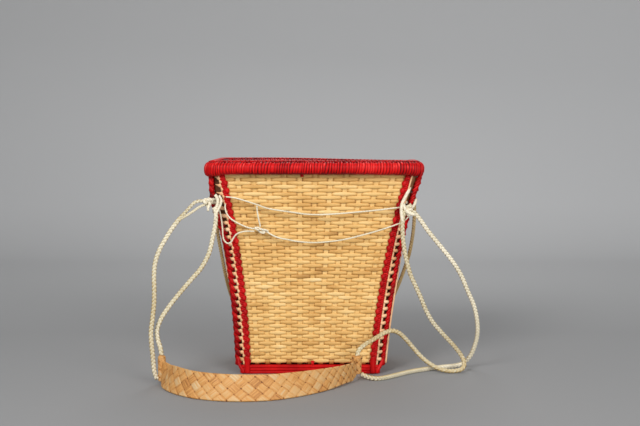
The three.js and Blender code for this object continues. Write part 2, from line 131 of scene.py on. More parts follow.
def smooth_path(points, step):
    """A centripetal Catmull-Rom curve through the points, resampled at even steps along its length."""
    p = np.asarray(points, float)
    p = np.vstack([2 * p[0] - p[1], p, 2 * p[-1] - p[-2]])
    gap = np.sqrt(np.linalg.norm(np.diff(p, axis=0), axis=1))[:, None]
    before, here, after = gap[:-2], gap[1:-1], gap[2:]
    a, b, c, d = p[:-3], p[1:-2], p[2:-1], p[3:]
    leave = ((b - a) / before - (c - a) / (before + here) + (c - b) / here) * here
    arrive = ((c - b) / here - (d - b) / (here + after) + (d - c) / after) * here
    u = np.linspace(0, 1, SAMPLES_PER_POINT, endpoint=False)[:, None]
    b, c, leave, arrive = b[:, None], c[:, None], leave[:, None], arrive[:, None]
    line = (
        (2 * u**3 - 3 * u**2 + 1) * b + (u**3 - 2 * u**2 + u) * leave
        + (3 * u**2 - 2 * u**3) * c + (u**3 - u**2) * arrive
    ).reshape(-1, 3)
    line = np.vstack([line, p[-2]])
    along = np.concatenate([[0], np.cumsum(np.linalg.norm(np.diff(line, axis=0), axis=1))])
    even = np.linspace(0, along[-1], max(4, round(along[-1] / step)) + 1)
    return np.stack([np.interp(even, along, line[:, k]) for k in range(3)], axis=1)


def path_length(path):
    return np.linalg.norm(np.diff(path, axis=0), axis=1).sum()


def carried_frame(path):
    """Side and up directions carried along a path with the least twist, the first side square to y."""
    tangent = unit(np.gradient(path, axis=0))
    side = np.empty_like(path)
    side[0] = unit(np.cross(tangent[0], Y_AXIS))
    for i in range(1, len(path)):
        carried = side[i - 1] - np.dot(side[i - 1], tangent[i]) * tangent[i]
        side[i] = carried / np.linalg.norm(carried)
    return side, np.cross(tangent, side)


def oval(count, fullness):
    """A closed section of unit half sizes: a circle's cosine and sine, squared off by a power."""
    angle = (np.arange(count) + 0.5) * 2 * np.pi / count
    return squared(np.cos(angle), fullness), squared(np.sin(angle), fullness)


# Sections of strips and strands
ROUND, THIN_ROUND = oval(8, 1), oval(6, 1)
FLAT, ROUNDED, LASH, BEAD, LATH = oval(8, 0.6), oval(8, 0.78), oval(6, 0.7), oval(6, 0.85), oval(12, 0.36)


def carry(centre, across, out, half_across, half_out, section, tone):
    """Carries a closed section along paths: each point lies across and out from the path by the half sizes.

    Returns places with the length along, the distance across and the tone: (paths, stations, points, 6).
    """
    centre, across, out = np.broadcast_arrays(centre, across, out)
    shape = centre.shape[:-1]
    wide = np.broadcast_to(half_across, shape)[..., None] * section[0]
    deep = np.broadcast_to(half_out, shape)[..., None] * section[1]
    place = centre[..., None, :] + wide[..., None] * across[..., None, :]
    place = place + deep[..., None] * out[..., None, :]
    step = np.linalg.norm(np.diff(centre, axis=-2), axis=-1)
    along = np.concatenate([np.zeros(shape[:-1] + (1,)), np.cumsum(step, axis=-1)], axis=-1)
    return with_lay(place, along[..., None], wide, np.broadcast_to(tone, shape)[..., None])


def with_lay(place, along, across, tone):
    """Places joined with the length along, the distance across and the tone at each of them."""
    extra = np.stack(np.broadcast_arrays(along, across, tone), axis=-1)
    return np.concatenate([place, extra], axis=-1)


def lay_strip(centre, facing, half_across, half_out, section, tone):
    """A section carried along paths and kept level with a surface that faces the given way."""
    tangent = unit(np.gradient(centre, axis=-2))
    across = unit(np.cross(facing, tangent))
    return carry(centre, across, np.cross(tangent, across), half_across, half_out, section, tone)


def drift(rows, stations, knots, spread):
    """Slow random change along each row: random values at knots, with straight lines between them."""
    values = chance.normal(0, spread, (rows, knots + 1))
    place = np.linspace(0, knots - 1e-6, stations)
    first = place.astype(int)
    part = place - first
    return values[:, first] * (1 - part) + values[:, first + 1] * part


def grid_faces(rows, columns, ring):
    """Four-sided faces of a grid that is closed round its columns, and round its rows where it is a ring."""
    i = np.arange(rows if ring else rows - 1)[:, None]
    j = np.arange(columns)[None, :]
    after, beside = (i + 1) % rows, (j + 1) % columns
    corners = [i * columns + j, i * columns + beside, after * columns + beside, after * columns + j]
    return np.stack(np.broadcast_arrays(*corners), axis=-1).reshape(-1, 4)


def turned_out(points):
    """Reverses each strip whose sections run the wrong way round its path, so that its faces point out."""
    place = points[..., :3]
    centre = place.mean(axis=2, keepdims=True)
    arm = place - centre
    area = np.cross(arm, np.roll(arm, -1, axis=2)).sum(axis=2)
    along = np.diff(centre[:, :, 0], axis=1)
    wrong = (area[:, :-1] * along).sum(axis=(1, 2)) < 0
    return np.where(wrong[:, None, None, None], points[:, :, ::-1], points)


def build(name, parts, finish, body, slot, *nodes, ring=False):
    """One mesh of closed strips, or of closed rings: every part is an array that carry() gives."""
    data, faces, first = [], [], 0
    for part in parts:
        points = turned_out(part.reshape((-1,) + part.shape[-3:]))
        count, rows, columns = points.shape[:3]
        offset = first + (np.arange(count) * rows * columns)[:, None, None]
        faces.append((grid_faces(rows, columns, ring) + offset).reshape(-1, 4))
        if not ring:
            cap = np.arange(columns)[None, None]
            faces.append((cap[..., ::-1] + offset).reshape(-1, columns))
            faces.append((cap + (rows - 1) * columns + offset).reshape(-1, columns))
        data.append(points.reshape(-1, 6))
        first += count * rows * columns
    data = np.concatenate(data).astype(np.float32)
    corners = np.concatenate([f.ravel() for f in faces]).astype(np.int32)
    sizes = np.concatenate([np.full(len(f), f.shape[1]) for f in faces]).astype(np.int32)
    mesh = bpy.data.meshes.new(name)
    mesh.vertices.add(len(data))
    mesh.vertices.foreach_set("co", np.ascontiguousarray(data[:, :3] * MM).ravel())
    mesh.loops.add(len(corners))
    mesh.loops.foreach_set("vertex_index", corners)
    mesh.polygons.add(len(sizes))
    mesh.polygons.foreach_set("loop_start", (np.cumsum(sizes) - sizes).astype(np.int32))
    mesh.polygons.foreach_set("use_smooth", sizes == 4)
    mesh.uv_layers.new(name="lay").data.foreach_set("uv", np.ascontiguousarray(data[corners, 3:5]).ravel())
    tones = mesh.attributes.new("tone", "FLOAT", "POINT")
    tones.data.foreach_set("value", np.ascontiguousarray(data[:, 5]))
    mesh.update(calc_edges=True)
    mesh.materials.append(finish)
    piece = bpy.data.objects.new(name, mesh)
    scene.collection.objects.link(piece)
    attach(piece, body)
    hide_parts(*nodes)
    return piece


# Finishes: shader nodes, in which fine lines follow each strip and slow blotches lie over all strips
GRAIN_APART, GRAIN_DETAIL, GRAIN_DEPTH = 61, 3, 0.0003
CLOUD_SCALE, CLOUD_DETAIL = 22, 2
GRAIN_RANGE, CLOUD_RANGE = (0.25, 0.75), (0.3, 0.7)


def feed(tree, node, inputs):
    """Gives each input of a shader node its value, or a link from another node's output."""
    for key, value in inputs.items():
        if isinstance(value, bpy.types.NodeSocket):
            tree.links.new(value, node.inputs[key])
        else:
            node.inputs[key].default_value = value


def shader_node(tree, kind, inputs, **settings):
    """A new shader node with its settings and its inputs."""
    node = tree.nodes.new("ShaderNode" + kind)
    for name, value in settings.items():
        setattr(node, name, value)
    feed(tree, node, inputs)
    return node


def ranged(tree, value, low, high, to_low, to_high):
    """A value carried over in proportion from one range to another."""
    inputs = {"Value": value, "From Min": low, "From Max": high, "To Min": to_low, "To Max": to_high}
    return shader_node(tree, "MapRange", inputs).outputs["Result"]


def joined(tree, operation, first, second):
    """Two values added or multiplied."""
    return shader_node(tree, "Math", {0: first, 1: second}, operation=operation).outputs["Value"]


def new_finish(name):
    """A material with its node tree and its surface shader."""
    material = bpy.data.materials.new(name)
    material.use_nodes = True
    return material, material.node_tree, material.node_tree.nodes["Principled BSDF"]


def strip_finish(name, colours, fibre, rough, relief, blotch=0.16, shine=0.4, streak=0.13):
    """A fibrous finish: each strip's tone, fine lines along it and slow blotches choose a colour on a ramp.

    Fibre is the lines' scale along and across a strip, and rough is the least and the most roughness.
    """
    material, tree, shader = new_finish(name)
    tone = shader_node(tree, "Attribute", {}, attribute_name="tone").outputs["Fac"]
    lay = shader_node(tree, "UVMap", {}, uv_map="lay").outputs["UV"]
    stretched = shader_node(tree, "Mapping", {"Vector": lay, "Scale": (*fibre, 1)}).outputs["Vector"]
    apart = joined(tree, "MULTIPLY", tone, GRAIN_APART)
    grain = {"Vector": stretched, "W": apart, "Scale": 1, "Detail": GRAIN_DETAIL}
    grain = shader_node(tree, "TexNoise", grain, noise_dimensions="4D").outputs["Fac"]
    place = shader_node(tree, "TexCoord", {}).outputs["Object"]
    cloud = {"Vector": place, "Scale": CLOUD_SCALE, "Detail": CLOUD_DETAIL}
    cloud = shader_node(tree, "TexNoise", cloud).outputs["Fac"]
    lined = joined(tree, "ADD", tone, ranged(tree, grain, *GRAIN_RANGE, -streak, streak))
    clouded = joined(tree, "ADD", lined, ranged(tree, cloud, *CLOUD_RANGE, -blotch, blotch))
    ramp = shader_node(tree, "ValToRGB", {"Fac": clouded})
    stops = ramp.color_ramp.elements
    for at, colour in colours:
        stop = stops[0] if at == 0 else stops[-1] if at == 1 else stops.new(at)
        stop.color = (*colour, 1)
    bump = {"Strength": relief, "Distance": GRAIN_DEPTH, "Height": grain}
    feed(tree, shader, {
        "Base Color": ramp.outputs["Color"],
        "Roughness": ranged(tree, grain, 0, 1, *rough),
        "Specular IOR Level": shine,
        "Normal": shader_node(tree, "Bump", bump).outputs["Normal"],
    })
    return material


cane = strip_finish("split_cane", [
    (0, (0.30, 0.135, 0.03)), (0.3, (0.60, 0.325, 0.09)), (0.55, (0.74, 0.46, 0.16)),
    (0.8, (0.80, 0.555, 0.24)), (1, (0.85, 0.64, 0.34)),
], fibre=(0.05, 2.4), rough=(0.42, 0.62), relief=0.35, blotch=0.09)
pale_cane = strip_finish("pale_corner_cane", [
    (0, (0.10, 0.035, 0.012)), (0.3, (0.56, 0.27, 0.11)), (0.6, (0.80, 0.455, 0.235)),
    (1, (0.88, 0.61, 0.39)),
], fibre=(0.06, 2.2), rough=(0.42, 0.6), relief=0.3)
red_cane = strip_finish("red_dyed_cane", [
    (0, (0.10, 0.001, 0.002)), (0.35, (0.40, 0.003, 0.004)), (0.65, (0.60, 0.007, 0.007)),
    (1, (0.82, 0.06, 0.05)),
], fibre=(0.05, 1.8), rough=(0.3, 0.5), relief=0.3, blotch=0.12, shine=0.13)
# Support line's yarn: darker and browner than the cream cords, as painted shade for its run in the basket's
# shadow
shaded_yarn = strip_finish("shaded_cord_yarn", [
    (0, (0.20, 0.11, 0.035)), (0.35, (0.40, 0.255, 0.095)), (0.6, (0.50, 0.34, 0.145)),
    (1, (0.62, 0.47, 0.25)),
], fibre=(0.5, 3.2), rough=(0.6, 0.85), relief=0.5, blotch=0.1)
cord_yarn = strip_finish("cream_cord_yarn", [
    (0, (0.30, 0.20, 0.07)), (0.35, (0.51, 0.39, 0.195)), (0.6, (0.61, 0.54, 0.37)),
    (1, (0.87, 0.79, 0.62)),
], fibre=(0.5, 3.2), rough=(0.6, 0.85), relief=0.5, blotch=0.1)
band_plait = strip_finish("plaited_band_strips", [
    (0, (0.13, 0.045, 0.012)), (0.25, (0.38, 0.155, 0.04)), (0.45, (0.57, 0.27, 0.075)),
    (0.62, (0.58, 0.32, 0.115)), (0.8, (0.575, 0.38, 0.185)), (1, (0.64, 0.47, 0.285)),
], fibre=(0.02, 0.45), rough=(0.45, 0.65), relief=0.6, blotch=0.08, shine=0.3, streak=0.3)


def build_red(name, parts, node, ring=False):
    """A piece of red dyed cane on the basket."""
    build(name, parts, red_cane, "basket", "red_cane", node, ring=ring)


# Cords: points of each route, close to the solids' routes, in millimetres
left_outer_route = [
    (-175, -111.5, 300.5), (-184, -112, 302.5), (-194, -114, 300), (-205, -117, 289), (-220, -121, 272),
    (-232, -125, 256), (-243, -129, 238), (-253, -133, 219), (-259, -138, 198), (-260, -143, 177),
    (-259, -148, 156), (-259, -153, 133), (-261, -158, 109), (-263, -162, 88), (-262, -165, 69),
    (-260, -166, 49), (-259, -165.5, 34), (-258, -164.5, 23), (-256, -163, 14), (-253.5, -162, 9),
]
left_inner_route = [
    (-161.4, -114.6, 291.1), (-159, -115.5, 285), (-159, -116, 267), (-164, -118, 240), (-170, -121, 215),
    (-183, -126, 190), (-201, -131, 169), (-219, -136, 148), (-237, -141, 125), (-250, -147, 104),
    (-255, -151, 87), (-253, -154, 73), (-249, -157, 62), (-247.4, -158.8, 55), (-246.4, -160, 48.5),
]
right_outer_route = [
    (174, -116, 285), (181, -114.2, 278), (189, -112.6, 267.5), (199.5, -110, 252.5), (212, -107.4, 237),
    (226.5, -104, 219.5), (243, -100, 199), (259, -94, 174), (272, -88, 145), (284, -80, 118),
    (291, -72, 90), (293, -63, 66), (290, -53, 43), (283, -44, 22), (272, -38, 9), (258, -39, 4.5),
    (240, -46, 4.2), (211, -61, 4.2), (174, -86, 4.2), (147, -113, 4.2), (128, -131, 4.2),
    (112, -140, 4.5), (99, -138, 6.5), (87.2, -131.3, 10),
]
right_inner_route = [
    (171.4, -112.8, 295.2), (164, -114.5, 290.5), (158.5, -115.5, 281), (156.5, -115.8, 266),
    (157, -115.5, 246), (159.5, -114, 224), (164, -112, 202), (171, -109, 177), (181, -106, 155),
    (190, -103, 135), (198, -98, 116), (210, -92, 94), (228, -84, 72), (248, -75, 50), (258.5, -69.5, 37),
    (263.2, -67.6, 30.5), (266.7, -67.5, 24.4), (268.9, -68.7, 18.8), (269.4, -70.8, 14), (268.1, -73.6, 10),
    (264.9, -76.4, 7), (259.6, -79.1, 5.1), (252, -81.2, 4.4), (241, -83, 4.6), (225, -80, 7.5),
    (209, -73, 15), (194, -70, 27), (179, -73, 44), (165, -79, 61), (152, -87, 73), (140, -93, 77),
    (127, -99, 74), (111, -107, 66), (96, -115, 59), (86.5, -121.5, 53), (82, -125.6, 47.5),
    (80.4, -127.6, 42), (79.6, -128.4, 34),
]
doubled_end_route = [
    (-174, -110.5, 297.5), (-186, -112.5, 292.5), (-197, -115.2, 285), (-207, -118, 278.5),
    (-215, -120.2, 273.8), (-221, -121.4, 270.4),
]
upper_string_route = [
    (-142, -108.6, 309), (-134, -110, 308.5), (-123, -111.5, 306.5), (-106, -112.5, 301.5), (-89, -113, 296),
    (-72, -113, 290), (-50, -112.5, 286), (-28, -112, 283), (-8, -111.5, 280), (13, -111, 279),
    (39, -111, 280), (65, -111, 282), (92, -111, 284.5), (117, -110.5, 287), (138, -109.5, 289.5),
    (154, -107.4, 291),
]
lower_left_route = [
    (-143.5, -107, 297), (-143.5, -107.4, 290), (-141, -108, 281), (-134, -109, 272), (-125, -109, 266),
    (-115, -109, 261), (-105, -109, 257), (-94.2, -108.4, 254.9),
]
drop_route = [
    (-89.4, -113, 293.6), (-89, -112.5, 286), (-88, -112, 279), (-86.6, -111, 271), (-85, -109.6, 264),
    (-84, -108.6, 258.2),
]
lower_right_route = [
    (-72.7, -108, 249.2), (-65, -107.6, 244.5), (-58, -107, 241), (-48, -106.5, 238), (-37, -106, 236),
    (-25, -105.5, 233.5), (-13, -105, 232), (0, -105, 231), (13, -105, 231), (32, -105, 232.5),
    (52, -105, 235), (71, -105.5, 239), (90, -106, 244), (110, -106, 249.5), (129, -106, 255.5),
    (147, -104.4, 261.6), (155, -106.6, 265), (162, -109.5, 270.5), (168, -113, 277),
]
loop_route = [
    (-157, -108.6, 293.4), (-153, -108.4, 285), (-149.8, -107, 268), (-148.5, -105.5, 255), (-148, -104, 243),
    (-146, -103, 234.5), (-140.5, -102.4, 229.5), (-134.5, -102.8, 231.5), (-130.5, -104, 238),
    (-125, -105.2, 245), (-115, -106.4, 249.5), (-105, -107, 250.6), (-94.3, -107.6, 250.4),
]
support_route = [
    (-164, -76.4, 299), (-164, -69, 290), (-163, -63, 268), (-161, -56, 240), (-156, -44, 204),
    (-151, -24, 164), (-147, 8, 132), (-143.5, 40, 110), (-141, 62, 98), (-140, 76, 92),
    (-137.5, 88, 90), (-129, 95.5, 88), (-116, 97.5, 86), (-90, 96, 82), (-50, 93, 78),
    (0, 92, 76), (50, 93, 78), (92, 96, 82), (120, 97.5, 86), (133, 95.5, 88),
    (142, 88, 90), (145, 76, 92), (146.5, 62, 98), (149, 40, 110), (154, 8, 130),
    (161, -20, 156), (168, -38, 182), (174, -48, 206), (179, -56, 238), (181, -63, 268),
    (180.5, -69, 290), (179, -77.3, 299),
]

# Lengths in millimetres, and shares of a cord's diameter
DOUBLED_END, STRING_TURN, STAIN_LENGTH = 4.4, 5.2, 42
SLIM_RUN = (44, 62)
PLAIT_STEP, TWIST_STEP = 1.2, 0.8
PLAIT_REPEAT, PLAIT_HALF_WIDTH, PLAIT_DIP, PLAIT_STRAND = 2.48, 0.54, 0.2, 0.29
TWIST_STRAND = {2: 0.35, 3: 0.27}


def plaited_strands(path, diameter, slim, shade):
    """Three strands of a flat plait: each sways as a sine and goes in depth as the sine of twice the angle.

    The cord starts thinner by the share slim and fills out by a smooth step, and its tone drifts slowly. Each
    strand is lighter where it comes up and darker where it sinks, as painted highlight and shade.
    """
    side, up = carried_frame(path)
    length = path_length(path)
    along = np.linspace(0, length, len(path))
    angle = along * 2 * np.pi / (PLAIT_REPEAT * diameter) + np.arange(3)[:, None] * 2 * np.pi / 3
    diameter = diameter * (1 - slim * (1 - ease(along, *SLIM_RUN)))
    thick = PLAIT_STRAND * diameter
    sway = (PLAIT_HALF_WIDTH * diameter - thick) * np.sin(angle)
    dip = PLAIT_DIP * diameter * np.sin(2 * angle)
    centre = path + sway[..., None] * side + dip[..., None] * up
    # Painted highlight where a strand comes up and painted shade where it sinks
    tone = 0.48 + 0.24 * squared(np.sin(2 * angle), 0.5) + chance.normal(0, 0.05, (3, 1))
    tone = tone + shade + drift(1, len(path), max(2, round(length / STAIN_LENGTH)), 0.1)
    return lay_strip(centre, up, thick, 0.86 * thick, ROUND, tone)


def twisted_strands(path, diameter, turn, count=2):
    """Strands twisted about a path: each runs on a circle, a full turn in the given length."""
    side, up = carried_frame(path)
    along = np.linspace(0, path_length(path), len(path))
    angle = along * 2 * np.pi / turn + np.arange(count)[:, None] * 2 * np.pi / count
    thick = diameter * TWIST_STRAND[count]
    radius = diameter / 2 - thick
    arm = np.cos(angle)[..., None] * side + np.sin(angle)[..., None] * up
    tone = np.broadcast_to(0.9 + chance.normal(0, 0.06, (count, 1)), angle.shape)
    return lay_strip(path + radius * arm, arm, thick, thick, THIN_ROUND, tone)


def run_cord(name, route, diameter, body, nodes, plait=True, finish=cord_yarn, slim=0, shade=0):
    """One cord along a route, a three-strand plait or a two-strand twist."""
    path = smooth_path(route, PLAIT_STEP if plait else TWIST_STEP)
    if plait:
        strands = plaited_strands(path, diameter, slim, shade)
    else:
        strands = twisted_strands(path, diameter, STRING_TURN)
    piece = build(name, [strands], finish, body, "braid_cord", *nodes)


def run_string(name, route, node):
    """A thin twisted string on the basket's front."""
    run_cord(name, route, STRING, "basket", [node], plait=False)


run_cord("left_outer_cord", left_outer_route, CORD, "harness", ["left_cord_outer"], slim=0.28)
run_cord("left_inner_cord", left_inner_route, CORD, "harness", ["left_cord_inner"], shade=-0.04)
run_cord("right_outer_cord", right_outer_route, CORD, "harness", ["right_cord_outer"], shade=0.03)
run_cord("right_inner_cord", right_inner_route, CORD, "harness", ["right_cord_inner"], shade=-0.17)
run_cord("left_doubled_end", doubled_end_route, DOUBLED_END, "harness", [])
run_cord("support_line", support_route, SUPPORT, "basket", ["support_cord"], finish=shaded_yarn)
run_string("upper_front_string", upper_string_route, "upper_string")
run_string("lower_left_string", lower_left_route, "lower_string_left")
run_string("drop_line", drop_route, "drop_string")
run_string("lower_right_string", lower_right_route, "lower_string_right")
run_string("hanging_loop", loop_route, "string_loop")

# Walls: plain weave of flat cane rows on upright stakes
FACE_STAKES, SIDE_STAKES = 11, 7
ROWS, ROW_PITCH, ROW_HALF_THICKNESS, WEAVE_DEPTH = 55, 6.2, 1.3, 1.55
FIRST_ROW = WALL_BOTTOM + 3.4 + ROW_PITCH / 2
STAKE_WIDTH, STAKE_HALF_THICKNESS, STAKE_FOOT_SET_BACK = 8.2, 0.85, 2
STEPS_PER_STAKE, STAKE_STATIONS = 10, 60
ROW_END_RUN, ROW_END_DEPTH = (0.15, 0.8), 0.3
GOES_BEHIND, BEHIND_STAKE_SHADE = (0.45, 1), (0.6, 0.95)


def stake_place(k, z, reach, stakes):
    """Distance across a wall at a stake's number: stakes are spaced evenly over the reach there."""
    return (k - (stakes - 1) / 2) * 2 * reach(z) / (stakes + 1)


def wall_rows(place, reach, stakes):
    """The rows of a plain weave: each passes over and under the stakes in turn, its neighbours the other way.

    The turn is a cosine of the stake's number. A row's outer face stays out until a smooth step takes it
    behind a stake, and its inner face does the same the other way about, so both sides show long floats. A
    float is tallest over its stake and has painted shade beside the stakes that it goes behind.
    """
    k = np.linspace(-1, stakes, (stakes + 1) * STEPS_PER_STAKE + 1)
    row = np.arange(ROWS)[:, None]
    inside = ease(np.minimum(k + 1, stakes - k), *ROW_END_RUN)
    turn = np.cos(np.pi * (k + row))
    outer = (1 - 2 * ease(-turn, *GOES_BEHIND)) * inside + ROW_END_DEPTH * (1 - inside)
    inner = (2 * ease(turn, *GOES_BEHIND) - 1) * inside + ROW_END_DEPTH * (1 - inside)
    z = FIRST_ROW + ROW_PITCH * row + drift(ROWS, len(k), stakes, 0.16)
    u = stake_place(k, z, reach, stakes)
    depth = WEAVE_DEPTH * (outer + inner) / 2 + drift(ROWS, len(k), stakes, 0.06)
    thick = ROW_HALF_THICKNESS + WEAVE_DEPTH * (outer - inner) / 2
    up = unit(place(u, z + 1, depth) - place(u, z - 1, depth))
    out = unit(place(u, z, depth + 1) - place(u, z, depth))
    half_height = ROW_PITCH * (0.53 + 0.06 * turn * inside)
    tone = 0.54 + chance.normal(0, 0.06, (ROWS, 1)) + drift(ROWS, len(k), stakes, 0.12)
    # Painted shade beside the stakes that the row goes behind
    tone = tone - 0.1 * (1 - rise(z)) - 0.34 * ease(-turn, *BEHIND_STAKE_SHADE) * inside
    return carry(place(u, z, depth), up, out, half_height, thick, ROUNDED, tone)


def wall_stakes(place, reach, stakes):
    """The upright stakes of a wall: flat strips whose feet are set back by a smooth step and darkened as
    painted shade.
    """
    z = np.linspace(WALL_BOTTOM + 0.2, WALL_TOP, STAKE_STATIONS)[None, :]
    u = stake_place(np.arange(stakes)[:, None], z, reach, stakes)
    z = np.broadcast_to(z, u.shape)
    over = unit(place(u + 1, z, 0) - place(u, z, 0))
    out = unit(place(u, z, 1) - place(u, z, 0))
    foot = 1 - ease(z, WALL_BOTTOM + 2, WALL_BOTTOM + 9)
    # Painted shade on the set-back feet
    tone = 0.56 + chance.normal(0, 0.07, (stakes, 1)) - 0.4 * foot
    centre = place(u, z, -STAKE_FOOT_SET_BACK * foot)
    return carry(centre, over, out, STAKE_WIDTH / 2, STAKE_HALF_THICKNESS, FLAT, tone)


def wall_weave(name, side, stakes, turned):
    """A woven wall on one side, the left or right where it is turned."""
    outward, sideways = (half_width, half_depth) if turned else (half_depth, half_width)

    def place(u, z, d):
        """Points by distance across, height and depth out of the wall's middle layer."""
        out = side * (outward(z) - WALL_THICKNESS / 2 + d)
        return xyz(middle(z) + out, u, z) if turned else xyz(middle(z) + u, out, z)

    def reach(z):
        return sideways(z) - CORNER_ZONE

    parts = [wall_rows(place, reach, stakes), wall_stakes(place, reach, stakes)]
    build(f"{name}_weave", parts, cane, "basket", "cane", f"{name}_wall")


for end, side in FACES:
    wall_weave(end, side, FACE_STAKES, turned=False)
for end, side in SIDES:
    wall_weave(end, side, SIDE_STAKES, turned=True)

# Bottom: flat strips woven both ways on the base frame
FLOOR_HALF_X, FLOOR_HALF_Y, FLOOR_CUT = 114.7, 75.7, 8.6
FLOOR_MIDDLE = WALL_BOTTOM + 2.5
FLOOR_STRIP, FLOOR_FILL, FLOOR_SWAY, FLOOR_HALF_THICKNESS = 10.2, 0.46, 0.95, 0.7


def floor_strips(half_across, half_along, turned):
    """Parallel floor strips that go up and down as a cosine of the crossing count, up to the cut corners."""
    count = int(2 * half_across / FLOOR_STRIP)
    crossings = int(2 * half_along / FLOOR_STRIP)
    line = (np.arange(count) - (count - 1) / 2)[:, None] * 2 * half_across / count
    reach = np.minimum(half_along, half_along + half_across - FLOOR_CUT - np.abs(line) - FLOOR_STRIP / 2)
    k = np.linspace(-0.5, crossings - 0.5, crossings * 5 + 1)
    along = (k - (crossings - 1) / 2) / (crossings / 2) * reach
    z = FLOOR_MIDDLE + FLOOR_SWAY * np.cos(np.pi * (np.arange(count)[:, None] + k + turned))
    line = np.broadcast_to(line, along.shape)
    centre = xyz(line, along, z) if turned else xyz(along, line, z)
    across = X_AXIS if turned else Y_AXIS
    tone = 0.5 + chance.normal(0, 0.1, (count, 1))
    return carry(centre, across, Z_AXIS, FLOOR_STRIP * FLOOR_FILL, FLOOR_HALF_THICKNESS, FLAT, tone)


build("bottom_weave", [
    floor_strips(FLOOR_HALF_Y, FLOOR_HALF_X, 0), floor_strips(FLOOR_HALF_X, FLOOR_HALF_Y, 1),
], cane, "basket", "cane", "woven_bottom")

# Lashed strips beside the corners: a core under leaning wraps
LASH_PITCH = 12.6
FACE_STRIP_INSET, FACE_STRIP_WIDTH, FACE_STRIP_THICKNESS = 12, 11, 5
SIDE_STRIP_INSET, SIDE_STRIP_WIDTH, SIDE_STRIP_THICKNESS, SIDE_STRIP_GAP = 3, 11, 8.5, 0.3
SIDE_STRIP_X = SIDE_STRIP_GAP + SIDE_STRIP_THICKNESS / 2
SIDE_STRIP_Y = -SIDE_STRIP_INSET - SIDE_STRIP_WIDTH / 2
CORE_STATIONS, WRAP_STATIONS, PETAL_STATIONS = 48, 13, 9
PETAL_CLIMB, PETAL_REACH, PETAL_HALF_THICKNESS = 10, 8.7, 1.0
# Petals by the side's sign: the left ones are painted darker, as painted shade for a face turned from the
# light
PETALS = {
    -1: dict(inward=3.2, shade=0.3, top=HITCH_HEIGHT, pitch=LASH_PITCH, wide=4.6),
    1: dict(inward=-1.0, shade=0.44, top=RIM_BOTTOM, pitch=LASH_PITCH / 2, wide=2.1),
}
STRAP_HALF_THICKNESS = 0.9
STRAPS = (
    ([(109.4, 86.4, 30), (109.1, 86.6, 20), (109.0, 86.8, 13), (108.9, 86.9, 6), (109.0, 86.5, 0.9)], 5),
    ([(126.5, 79.5, 27), (124.5, 81.5, 19), (121.0, 84.3, 12.5), (117.6, 86.4, 7), (115.6, 86.6, 1.2)], 3),
)


def wraps(strip, half_across, reach, turn, pitch, climb, wide, thick, shade):
    """Leaning wraps on a strip: each follows a squared-off ellipse round the strip while it climbs.

    A wrap is widest at the middle of its run and narrows to its ends, as a leaf does, and is a little darker
    towards its ends as painted shade.
    """
    line, across, out = strip
    count = int((RIM_BOTTOM - WALL_BOTTOM) / pitch)
    start = WALL_BOTTOM + pitch * (np.arange(count) + 0.5)[:, None]
    angle = np.linspace(turn[0], turn[1], WRAP_STATIONS) * np.pi
    part = (angle - angle[0]) / (angle[-1] - angle[0])
    z = start + climb * (part - 0.5) + chance.normal(0, 0.03 * pitch, (count, 1))
    z = np.clip(z, WALL_BOTTOM + 0.5, RIM_BOTTOM + 2)
    c = -squared(np.cos(angle), 0.6) * half_across
    h = squared(np.sin(angle), 0.6) * reach
    facing = unit(xyz(c / half_across, h / reach, 0))
    facing = facing[..., :1] * across + facing[..., 1:2] * out
    centre = line(z) + c[:, None] * across + h[:, None] * out - 0.5 * thick * facing
    leaf = 0.5 + 0.5 * np.sin(np.pi * part) ** 0.7
    # Painted shade towards the wrap's narrow ends
    tone = shade + chance.normal(0, 0.1, (count, 1)) + 0.12 * (leaf - 0.8)
    return lay_strip(centre, facing, wide * leaf, thick * leaf, LASH, tone)


def strip_core(strip, half_across, low, high):
    """The bar under the wraps: a flat oval carried up the strip between two distances out."""
    line, across, out = strip
    z = np.linspace(WALL_BOTTOM + 0.4, RIM_BOTTOM, CORE_STATIONS)
    centre = line(z) + (low + high) / 2 * out
    return carry(centre, across, out, half_across, (high - low) / 2, FLAT, 0.3)[None]


def bow_off(z, corner):
    """How far a side strip stands off its wall: a bell curve at the front, and nothing at the back."""
    most, height = LEFT_STAND_OFF if corner[0] < 0 else RIGHT_STAND_OFF
    return (most if corner[1] < 0 else 0) * bell(z, height, STAND_OFF_SPREAD)


def edge_petals(corner, inward, shade, top, pitch, wide):
    """Leaf-shaped turns over a side strip's corner edge: leaning runs that bend back at its outer face."""
    count = int((top - WALL_BOTTOM) / pitch)
    start = WALL_BOTTOM + pitch * (np.arange(count) + 0.2)[:, None]
    start = start + chance.normal(0, 0.03 * pitch, (count, 1))
    t = np.linspace(0, 1, PETAL_STATIONS)
    z = np.clip(start + PETAL_CLIMB * t, WALL_BOTTOM + 1, RIM_BOTTOM + 1)
    x = bow_off(z, corner) - inward + (PETAL_REACH + inward) * t
    y = -2.4 - 3.4 * ease(t, 0.68, 1)
    facing = unit(xyz(corner[0] * (0.15 + 1.2 * ease(t, 0.6, 1)), corner[1], 0))
    leaf = np.sin(np.pi * (0.1 + 0.8 * t)) ** 0.7
    # Painted shade towards the petal's narrow ends
    tone = shade + chance.normal(0, 0.09, (count, 1)) - 0.3 * (1 - leaf)
    centre = at_corner(corner, x, y, z)
    return lay_strip(centre, facing, wide * leaf, PETAL_HALF_THICKNESS * leaf, LASH, tone)


def foot_straps(corner):
    """Straps that run from a corner's two strips down over the base rail's outer face."""
    parts = []
    for points, wide in STRAPS:
        path = smooth_path(np.array(points) * (*corner, 1), 2)[None]
        facing = unit(np.array([0.12 * corner[0], corner[1], 0]))
        tone = 0.46 + chance.normal(0, 0.06)
        parts.append(lay_strip(path, facing, wide, STRAP_HALF_THICKNESS, LASH, tone))
    return parts


